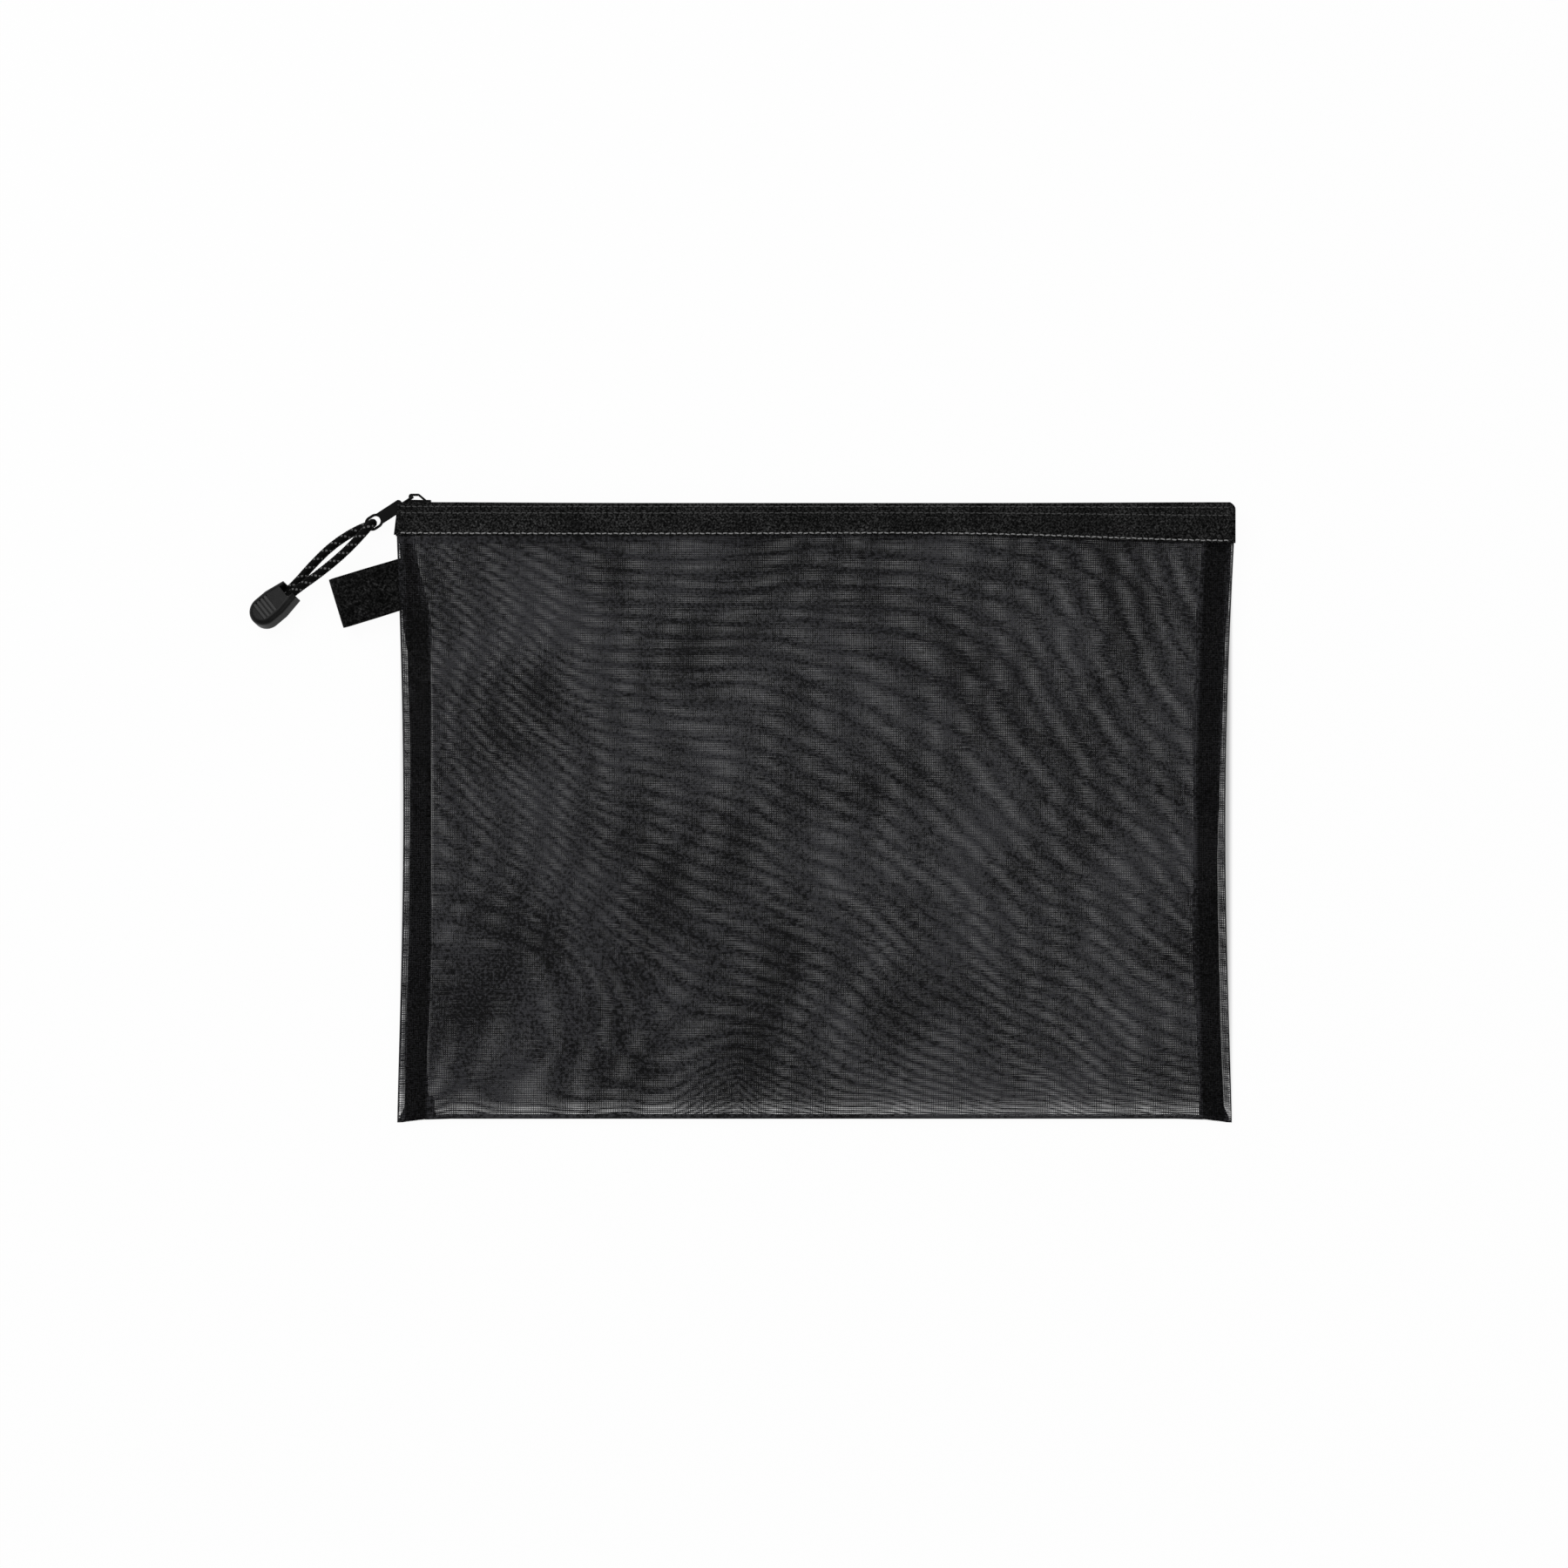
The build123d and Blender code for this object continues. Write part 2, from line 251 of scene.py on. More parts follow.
def tube_frames(path: Array, hint: Array) -> tuple[Array, Array]:
    """Unit vectors across a path: side lies as near to hint as it can, up is square to side and path.

    Args:
        path: Path points, shaped (..., n, 3).
        hint: Direction that side follows, shaped to match path.

    Returns:
        The side and up vectors, each shaped as path.
    """
    along = unit(np.gradient(path, axis=-2))
    side = unit(hint - np.sum(hint * along, axis=-1, keepdims=True) * along)
    return side, np.cross(along, side)


def ellipse(width: float, height: float, sides: int) -> Array:
    """Points of an ellipse with the given full width and height, turned the way that faces outwards."""
    angle = np.arange(sides) * TURN / sides
    return np.stack((np.cos(angle) * width / 2, np.sin(angle) * height / 2), axis=-1)


def thickened(line: Array, normal: Array, thickness: float) -> Array:
    """Ring of points round a line in its plane: along it on the normals' side, and back on the other."""
    half = normal * thickness / 2
    return np.concatenate((line + half, (line - half)[::-1]))


# Shader maths

class Value:
    """A socket that carries a number, with the operators that shader maths needs."""

    def __init__(self, graph: "Graph", socket: bpy.types.NodeSocket) -> None:
        """Wraps a socket of a graph."""
        self.graph = graph
        self.socket = socket

    def _maths(self, operation: str, *terms: Any) -> "Value":
        """Adds one Math node with these terms."""
        inputs = dict(enumerate(terms))
        return self.graph.node("ShaderNodeMath", {"operation": operation}, inputs).value()

    def __add__(self, other: Any) -> "Value":
        """Sum."""
        return self._maths("ADD", self, other)

    __radd__ = __add__

    def __sub__(self, other: Any) -> "Value":
        """Difference."""
        return self._maths("SUBTRACT", self, other)

    def __rsub__(self, other: Any) -> "Value":
        """Difference from a number."""
        return self._maths("SUBTRACT", other, self)

    def __mul__(self, other: Any) -> "Value":
        """Product."""
        return self._maths("MULTIPLY", self, other)

    __rmul__ = __mul__

    def __truediv__(self, other: Any) -> "Value":
        """Quotient."""
        return self._maths("DIVIDE", self, other)

    def __rtruediv__(self, other: Any) -> "Value":
        """Quotient of a number."""
        return self._maths("DIVIDE", other, self)

    def __pow__(self, other: Any) -> "Value":
        """Power."""
        return self._maths("POWER", self, other)

    def __rpow__(self, other: Any) -> "Value":
        """Power of a number."""
        return self._maths("POWER", other, self)

    def __abs__(self) -> "Value":
        """Size without sign."""
        return self._maths("ABSOLUTE", self)

    def fraction(self) -> "Value":
        """What is left after the whole part."""
        return self._maths("FRACT", self)

    def above(self, other: Any) -> "Value":
        """One where this is greater, otherwise zero."""
        return self._maths("GREATER_THAN", self, other)

    def most(self, other: Any) -> "Value":
        """The greater of two."""
        return self._maths("MAXIMUM", self, other)

    def least(self, other: Any) -> "Value":
        """The smaller of two."""
        return self._maths("MINIMUM", self, other)

    def wave(self) -> "Value":
        """Triangle wave from zero to one and back over each whole step."""
        return 1 - abs(self.fraction() * 2 - 1)


class Made:
    """A node that has been made, with short ways to its outputs."""

    def __init__(self, graph: "Graph", node: bpy.types.Node) -> None:
        """Wraps a node of a graph."""
        self.graph = graph
        self.node = node

    def socket(self, name: Union[int, str] = 0) -> bpy.types.NodeSocket:
        """An output socket."""
        return self.node.outputs[name]

    def value(self, name: Union[int, str] = 0) -> Value:
        """An output socket as a number."""
        return Value(self.graph, self.node.outputs[name])


class Graph:
    """The node tree of a material or of the world."""

    def __init__(self, owner: Union[bpy.types.Material, bpy.types.World]) -> None:
        """Empties the node tree of its owner.

        Args:
            owner: The new material or world.
        """
        self.owner = owner
        owner.use_nodes = True
        self.tree = owner.node_tree
        self.tree.nodes.clear()

    def node(self, kind: str, settings: Optional[dict[str, Any]] = None,
             inputs: Optional[dict[Any, Any]] = None) -> Made:
        """Makes one node.

        Args:
            kind: Type of the node.
            settings: Properties that are set first.
            inputs: Values or links of its sockets, by name or number.

        Returns:
            The node.
        """
        node = self.tree.nodes.new(kind)
        for name, setting in (settings or {}).items():
            setattr(node, name, setting)
        for name, given in (inputs or {}).items():
            if isinstance(given, Value):
                self.tree.links.new(given.socket, node.inputs[name])
            elif isinstance(given, bpy.types.NodeSocket):
                self.tree.links.new(given, node.inputs[name])
            else:
                node.inputs[name].default_value = given
        return Made(self, node)

    def place(self, turn: float = 0) -> bpy.types.NodeSocket:
        """Object coordinates, turned about Z.

        Args:
            turn: The angle in radians.

        Returns:
            The socket that carries them.
        """
        coordinates = self.node("ShaderNodeTexCoord").socket("Object")
        inputs = {"Vector": coordinates, "Rotation": (0, 0, turn)}
        return self.node("ShaderNodeMapping", None, inputs).socket()

    def local_place(self, origin: Sequence[float], turn: Sequence[float]) -> bpy.types.NodeSocket:
        """Object coordinates seen from other axes.

        Args:
            origin: Where the axes start, in metres.
            turn: How they are turned, as XYZ angles.

        Returns:
            The socket that carries the coordinates.
        """
        coordinates = self.node("ShaderNodeTexCoord").socket("Object")
        inputs = {"Vector": coordinates, "Location": origin, "Rotation": turn}
        return self.node("ShaderNodeMapping", {"vector_type": "TEXTURE"}, inputs).socket()

    def parts(self, vector: bpy.types.NodeSocket) -> tuple[Value, Value, Value]:
        """The three numbers of a vector."""
        split = self.node("ShaderNodeSeparateXYZ", None, {0: vector})
        return split.value(0), split.value(1), split.value(2)

    def noise(self, vector: bpy.types.NodeSocket, size: float, detail: float = 2) -> Value:
        """Noise from zero to one whose lumps are about size metres across."""
        inputs = {"Vector": vector, "Scale": 1 / size, "Detail": detail}
        return self.node("ShaderNodeTexNoise", None, inputs).value(0)

    def mix(self, share: Value, first: Union[Sequence[float], bpy.types.NodeSocket],
            second: Sequence[float]) -> bpy.types.NodeSocket:
        """A colour between two.

        Args:
            share: How much of the second colour there is, held between zero and one.
            first: A colour, or the socket of one.
            second: The other colour.

        Returns:
            The socket of the mixed colour.
        """
        settings = {"data_type": "RGBA", "clamp_factor": True}
        start = first if isinstance(first, bpy.types.NodeSocket) else (*first, 1)
        inputs = {0: share, 6: start, 7: (*second, 1)}
        return self.node("ShaderNodeMix", settings, inputs).socket(2)

    def bump(self, height: Value, distance: float, strength: float) -> bpy.types.NodeSocket:
        """A normal bent by a height."""
        inputs = {"Height": height, "Distance": distance, "Strength": strength}
        return self.node("ShaderNodeBump", None, inputs).socket()

    def two_shaders(self, share: Any, first: Made, second: Made) -> bpy.types.NodeSocket:
        """A shader between two, by share."""
        inputs = {0: share, 1: first.socket(), 2: second.socket()}
        return self.node("ShaderNodeMixShader", None, inputs).socket()

    def surface(self, inputs: dict[str, Any]) -> bpy.types.Material:
        """Joins a Principled shader to the output.

        Args:
            inputs: Values or links of the shader's sockets.

        Returns:
            The finished material.
        """
        shader = self.node("ShaderNodeBsdfPrincipled", None, inputs).socket()
        self.node("ShaderNodeOutputMaterial", None, {"Surface": shader})
        return self.owner


# Finishes, with their lengths in metres unless they say otherwise

Colour = tuple[float, float, float]


def grey(level: float, blue: float = 1.0) -> Colour:
    """A grey, with its blue part raised or lowered."""
    return (level, level, level * blue)


@dataclass(frozen=True)
class YarnFinish:
    """Plain spun or filament yarn: dull, with cloudy changes of shade and a fine grain."""

    name: str
    dark: Colour
    light: Colour
    lump: float
    fibre: float = 0.00025
    grain: float = 0.4
    contrast: float = 1.0
    roughness: float = 0.55
    roughness_spread: float = 0.24
    gloss: float = 0.1
    bump_depth: float = 0.00005
    bump_strength: float = 0.4

    def build(self) -> bpy.types.Material:
        """Makes the material.

        Returns:
            The material.
        """
        graph = Graph(bpy.data.materials.new(self.name))
        place = graph.place()
        cloud = graph.noise(place, self.lump, detail=3)
        fibre = graph.noise(place, self.fibre)
        shade = (cloud * (1 - self.grain) + fibre * self.grain - 0.5) * self.contrast + 0.5
        inputs = {
            "Base Color": graph.mix(shade, self.dark, self.light),
            "Roughness": self.roughness + (fibre - 0.5) * self.roughness_spread,
            "Specular IOR Level": self.gloss,
            "Normal": graph.bump(fibre, self.bump_depth, self.bump_strength),
        }
        return graph.surface(inputs)


class Weave(Enum):
    """How the yarns of a woven tape cross."""

    PLAIN = "plain"
    HERRINGBONE = "herringbone"


@dataclass(frozen=True)
class WovenFinish:
    """Woven tape: the weave's pattern, with raised yarns painted lighter and painted shade in the gaps
    between them, broken up by fibre noise and tufts.
    """

    name: str
    dark: Colour
    light: Colour
    weave: Weave
    yarn: float
    band: float
    turn: float = 0.0
    depth: float = 0.00012
    bump_strength: float = 0.8
    roughness: float = 0.75
    raised_polish: float = 0.15
    gloss: float = 0.03
    cross_spacing: float = 0.8
    along_share: float = 0.65
    raised_power: float = 0.8
    raised_dark: float = 0.2
    raised_light: float = 0.9
    fibre_relief: float = 0.4
    tufts: float = 0.7
    tuft_size: float = 0.75
    tuft_gain: float = 3.0
    tuft_cut: float = 1.0
    tuft_light: float = 1.6
    cloud_size: float = 5.0
    contrast: float = 2.3

    def build(self) -> bpy.types.Material:
        """Makes the material.

        Returns:
            The material.
        """
        graph = Graph(bpy.data.materials.new(self.name))
        place = graph.place(self.turn)
        x, y, _ = graph.parts(place)
        if self.weave is Weave.HERRINGBONE:
            along = (x / self.yarn + (y / self.band).wave() * (self.band / self.yarn / 2)).wave()
            across = (y / (self.yarn * self.cross_spacing)).wave()
        else:
            step = (y / self.band).fraction().above(0.5) * 0.5
            along = (x / self.yarn + step).wave()
            across = (y / self.band * 2).wave()
        raised = (along * self.along_share + across * (1 - self.along_share)) ** self.raised_power
        fibre = graph.noise(place, self.yarn / 2, detail=3)
        tuft = graph.noise(place, self.yarn * self.tuft_size) * self.tuft_gain - self.tuft_cut
        tuft = tuft.most(0).least(1)
        cloud = graph.noise(place, self.band * self.cloud_size)
        # The relief sets the colour: raised yarns painted lighter, gaps painted dark as painted shade.
        rows = raised * (self.raised_dark + fibre * self.raised_light) * (1 - self.tufts)
        shade = (rows + tuft * fibre * (self.tuft_light * self.tufts)) * (0.5 + cloud)
        relief = raised + fibre * self.fibre_relief + tuft * self.tufts
        inputs = {
            "Base Color": graph.mix(shade ** self.contrast, self.dark, self.light),
            "Roughness": self.roughness - raised * self.raised_polish,
            "Specular IOR Level": self.gloss,
            "Normal": graph.bump(relief, self.depth, self.bump_strength),
        }
        return graph.surface(inputs)


@dataclass(frozen=True)
class MouldedFinish:
    """Moulded plastic or sprayed metal: satin, with a fine grain and a little scuffing."""

    name: str
    base: Colour
    scuff: Colour
    roughness: float
    grain: float
    gloss: float = 0.3
    scuff_size: float = 12.0
    scuff_power: float = 3.0
    scuff_light: float = 2.2
    roughness_spread: float = 0.16
    bump_depth: float = 0.00004
    bump_strength: float = 0.35

    def inputs(self, graph: Graph) -> dict[str, Any]:
        """Makes the nodes that feed the shader.

        Args:
            graph: Node tree of the material.

        Returns:
            Values or links of the shader's sockets.
        """
        place = graph.place()
        cloud = graph.noise(place, self.grain * self.scuff_size, detail=3)
        fine = graph.noise(place, self.grain)
        return {
            "Base Color": graph.mix(cloud ** self.scuff_power * self.scuff_light, self.base, self.scuff),
            "Roughness": self.roughness + (fine - 0.5) * self.roughness_spread,
            "Specular IOR Level": self.gloss,
            "Normal": graph.bump(fine, self.bump_depth, self.bump_strength),
        }

    def build(self) -> bpy.types.Material:
        """Makes the material.

        Returns:
            The material.
        """
        graph = Graph(bpy.data.materials.new(self.name))
        return graph.surface(self.inputs(graph))


@dataclass(frozen=True)
class GripFinish(MouldedFinish):
    """Moulded plastic of the cord end, whose grip has raised bars painted paler: a painted highlight where
    light would catch them.

    The grip's sizes are millimetres, measured along the cord end from its mouth and across it.
    """

    # Colour of the painted highlight on the grip's raised bars.
    bar_highlight: Colour = grey(0.04)
    start: float = 8.6
    length: float = 7.0
    width: float = 8.0
    bars: int = 4
    bar_share: float = 0.55
    highlight_least: float = 0.5
    highlight_grain: float = 0.8

    def build_at(self, mouth: Array, turn: Sequence[float]) -> bpy.types.Material:
        """Makes the material for a cord end in its place.

        Args:
            mouth: Where the cord end begins, in millimetres.
            turn: XYZ angles of its axes, the first of which runs along it.

        Returns:
            The material.
        """
        graph = Graph(bpy.data.materials.new(self.name))
        inputs = self.inputs(graph)
        fine = graph.noise(graph.place(), self.grain)
        along, across, _ = graph.parts(graph.local_place([MM * float(number) for number in mouth], turn))
        phase = (along - self.start * MM) / (self.length / self.bars * MM)
        bar = (self.bar_share / 2 - abs((phase - self.bar_share + 0.5).fraction() - 0.5)).above(0)
        middle = self.start + self.length / 2
        within = (self.length / 2 * MM - abs(along - middle * MM)).above(0)
        within = within * (self.width / 2 * MM - abs(across)).above(0)
        # Painted highlight: the raised bars within the grip are painted paler, flecked by fine noise.
        painted_bar_highlight = bar * within * (self.highlight_least + fine * self.highlight_grain)
        inputs["Base Color"] = graph.mix(painted_bar_highlight, inputs["Base Color"], self.bar_highlight)
        return graph.surface(inputs)


@dataclass(frozen=True)
class BraidFinish:
    """Braided cord: dark strands, and a few pale ones that the mesh marks with an attribute; the pale
    strands are painted highlights for the glints of light on the braid.
    """

    name: str
    dark: Colour
    # The pale colour is a painted highlight for glints of light on the strands.
    pale: Colour
    roughness: float = 0.55
    roughness_spread: float = 0.2
    gloss: float = 0.05
    fibre: float = 0.0004
    glint_least: float = 0.4
    bump_depth: float = 0.00006
    bump_strength: float = 0.5

    def build(self) -> bpy.types.Material:
        """Makes the material.

        Returns:
            The material.
        """
        graph = Graph(bpy.data.materials.new(self.name))
        # The attribute marks the strands that carry the painted highlight.
        glint = graph.node("ShaderNodeAttribute", {"attribute_name": "glint"}).value("Fac")
        fibre = graph.noise(graph.place(), self.fibre)
        inputs = {
            "Base Color": graph.mix(glint * (self.glint_least + fibre), self.dark, self.pale),
            "Roughness": self.roughness + (fibre - 0.5) * self.roughness_spread,
            "Specular IOR Level": self.gloss,
            "Normal": graph.bump(fibre, self.bump_depth, self.bump_strength),
        }
        return graph.surface(inputs)


@dataclass(frozen=True)
class Finishes:
    """Every finish of the wallet."""

    net: YarnFinish = YarnFinish(
        "mesh_yarn", grey(0.004, 1.1), grey(0.042, 1.1), lump=0.045, fibre=0.0011, grain=0.6, contrast=7.0)
    tape: WovenFinish = WovenFinish(
        "zip_tape_weave", grey(0.0005), grey(0.085), Weave.HERRINGBONE, yarn=0.0011, band=0.0026)
    binding: WovenFinish = WovenFinish(
        "binding_weave", grey(0.0004), grey(0.034), Weave.HERRINGBONE, yarn=0.0010, band=0.0022,
        turn=math.pi / 2)
    webbing: WovenFinish = WovenFinish(
        "webbing_weave", grey(0.0005), grey(0.045), Weave.PLAIN, yarn=0.0014, band=0.0014,
        turn=math.radians(-17), depth=0.0002)
    stitch: YarnFinish = YarnFinish("sewing_thread", grey(0.12), grey(0.42), lump=0.003)
    seam: YarnFinish = YarnFinish("seam_thread", grey(0.025), grey(0.1), lump=0.003)
    coil: MouldedFinish = MouldedFinish(
        "nylon_coil", grey(0.010), grey(0.03), roughness=0.38, grain=0.0004)
    # The braid's pale colour is a painted highlight for the glints on its strands.
    braid: BraidFinish = BraidFinish("cord_braid", grey(0.002), grey(0.14))
    plastic: GripFinish = GripFinish(
        "cord_end_plastic", grey(0.002), grey(0.010), roughness=0.42, grain=0.0003, gloss=0.14)
    paint: MouldedFinish = MouldedFinish(
        "slider_paint", grey(0.002), grey(0.010), roughness=0.45, grain=0.0005, gloss=0.07)


# Pieces

def make_mesh(name: str, points: Array, quads: Array, triangles: Optional[Array] = None) -> bpy.types.Mesh:
    """A mesh from arrays.

    Args:
        name: Name of the mesh.
        points: Points in millimetres, of any shape ending in 3.
        quads: Point numbers of the quads, shaped (n, 4).
        triangles: Point numbers of the triangles, shaped (n, 3).

    Returns:
        The mesh, in metres.
    """
    if triangles is None:
        triangles = np.zeros((0, 3), dtype=int)
    mesh = bpy.data.meshes.new(name)
    flat = (points.reshape(-1, 3) * MM).astype(np.float32)
    loops = np.concatenate((quads.ravel(), triangles.ravel())).astype(np.int32)
    starts = np.concatenate((np.arange(len(quads)) * 4, len(quads) * 4 + np.arange(len(triangles)) * 3))
    mesh.vertices.add(len(flat))
    mesh.vertices.foreach_set("co", flat.ravel())
    mesh.loops.add(len(loops))
    mesh.loops.foreach_set("vertex_index", loops)
    mesh.polygons.add(len(starts))
    mesh.polygons.foreach_set("loop_start", starts.astype(np.int32))
    mesh.update(calc_edges=True)
    mesh.validate()
    return mesh


def dress(node: str, material: bpy.types.Material) -> None:
    """Gives a node of the frame a better finish.

    Args:
        node: Name of the node.
        material: The finish.
    """
    for slot in frame["nodes"][node].material_slots:
        slot.material = material
    LOG.info("%s: dressed", node)


@dataclass
class Piece:
    """What a new piece rides on, the slot of its finish, which nothing here reads, and what it stands for.
    """

    name: str
    body: str
    slot: str
    replaces: tuple[str, ...] = ()
    smooth: bool = True

    def add(self, mesh: bpy.types.Mesh, material: bpy.types.Material) -> bpy.types.Object:
        """Puts a mesh into the scene as this piece.

        Args:
            mesh: The piece's mesh.
            material: Its finish.

        Returns:
            The object.
        """
        mesh.materials.append(material)
        mesh.polygons.foreach_set("use_smooth", np.full(len(mesh.polygons), self.smooth))
        piece = bpy.data.objects.new(self.name, mesh)
        bpy.context.scene.collection.objects.link(piece)
        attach(piece, self.body)
        if self.replaces:
            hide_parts(*self.replaces)
        LOG.info("%s: %d faces", self.name, len(mesh.polygons))
        return piece


@dataclass(frozen=True)
class BandCourse:
    """How many yarns the back sheet's cross yarns have slipped past the front sheet's.

    The two sheets show bands along the lines of equal slip. Lengths are millimetres, slips are yarns, and
    X and Y are the part's own.
    """

    climb: float = 0.145
    fold_slip: float = 4.5
    fold_reach: float = 8.0
    below_fold: float = 12.0
    level: Ramp = Ramp(1, 80, 6)
    level_end: float = -52.0
    level_ease: float = 7.0
    strip_near: Ramp = Ramp(1, 84, 10)
    strip_near_lean: float = 0.3
    strip_far: Ramp = Ramp(1, 150, 10)
    strip_far_lean: float = 0.7
    strip_slip: float = 0.07
    strip_more: Ease = Ease(0.1, -95, -55)
    line_x: float = -45.0
    line_leans: tuple[Ramp, ...] = (Ramp(0.35, -50, 20), Ramp(0.9, 15, 20))
    right: Ramp = Ramp(0.09, 0, 30)
    waves: tuple[Wave, ...] = (Wave(0.3, 33, 41, 0.6), Wave(0.2, 17, -27, 2.1))
    ripples: tuple[Wave, ...] = (Wave(0.6, 5.4), Wave(0.4, 9.1, start=1))
    ripple_reach: float = 10.0
    swell: Bell = Bell(-3.2, -32, 9, 8, 16)
    dip: Bell = Bell(-2.2, -126, 30, -95, 18)

    def at(self, x: Array, y: Array, fold_y: float) -> Array:
        """The slip at x and y.

        It grows with y, and faster towards the fold, but not in the lower left corner. It grows with x to
        the right of a line that leans right as it climbs, and within a strip down the left. Long waves,
        ripples and a swell at the fold and a wide dip in the lower left corner bend it.

        Args:
            x: Place across the pouch.
            y: Place up the pouch.
            fold_y: Y of the fold.

        Returns:
            The slip in yarns.
        """
        up = y - fold_y
        height = np.maximum(up, -self.below_fold)
        level = self.level.at(-y) / (1 + np.exp((x - self.level_end) / self.level_ease))
        rise = self.climb * (up + level) - self.fold_slip * np.exp(-height / self.fold_reach)
        strip = self.strip_near.at(-(x + self.strip_near_lean * y))
        strip = strip - self.strip_far.at(-(x + self.strip_far_lean * y))
        left = -(self.strip_slip + self.strip_more.at(y)) * strip
        right = self.right.at(x - (self.line_x + total(self.line_leans, y)))
        ripple = np.exp(-height / self.ripple_reach) * total(self.ripples, x)
        bent = total(self.waves, x, y) + ripple + self.swell.at(x, up) + self.dip.at(x, y)
        return rise + left + right + bent


@dataclass(frozen=True)
class StripeCourse:
    """How many yarns the back sheet's long yarns have slipped: upright stripes that lean and curve.

    Lengths are millimetres, slips are yarns, and X and Y are the part's own.
    """

    slope: float = 0.033
    left: Ramp = Ramp(-0.03, 100, 20)
    right: Ramp = Ramp(0.03, 85, 18)
    lean: float = 0.025
    lean_x: float = 60.0
    lean_ease: float = 25.0
    waves: tuple[Wave, ...] = (Wave(0.3, 38 / 0.35, 38), Wave(0.15, -31, 17, 1.3))

    def at(self, x: Array, y: Array) -> Array:
        """The slip at x and y: it grows with x, faster at both sides, leans at the right, and has waves."""
        lean = self.lean * y / (1 + np.exp((self.lean_x - x) / self.lean_ease))
        return self.slope * x + self.left.at(-x) + self.right.at(x) + lean + total(self.waves, x, y)


@dataclass(frozen=True)
class BindingCourse:
    """Where the two edges of a binding run. Lengths are millimetres.

    The outer edge lies inset from the pouch's own edge, and the inner edge reaches in from the side of the
    pouch's box. Terms change with Y, and foot terms with the height above the binding's foot.
    """

    node: str
    side: int
    inset: float
    inset_terms: tuple[Ease, ...]
    reach: float
    reach_terms: tuple[Union[Ease, Bell], ...]
    foot_terms: tuple[Ease, ...] = ()


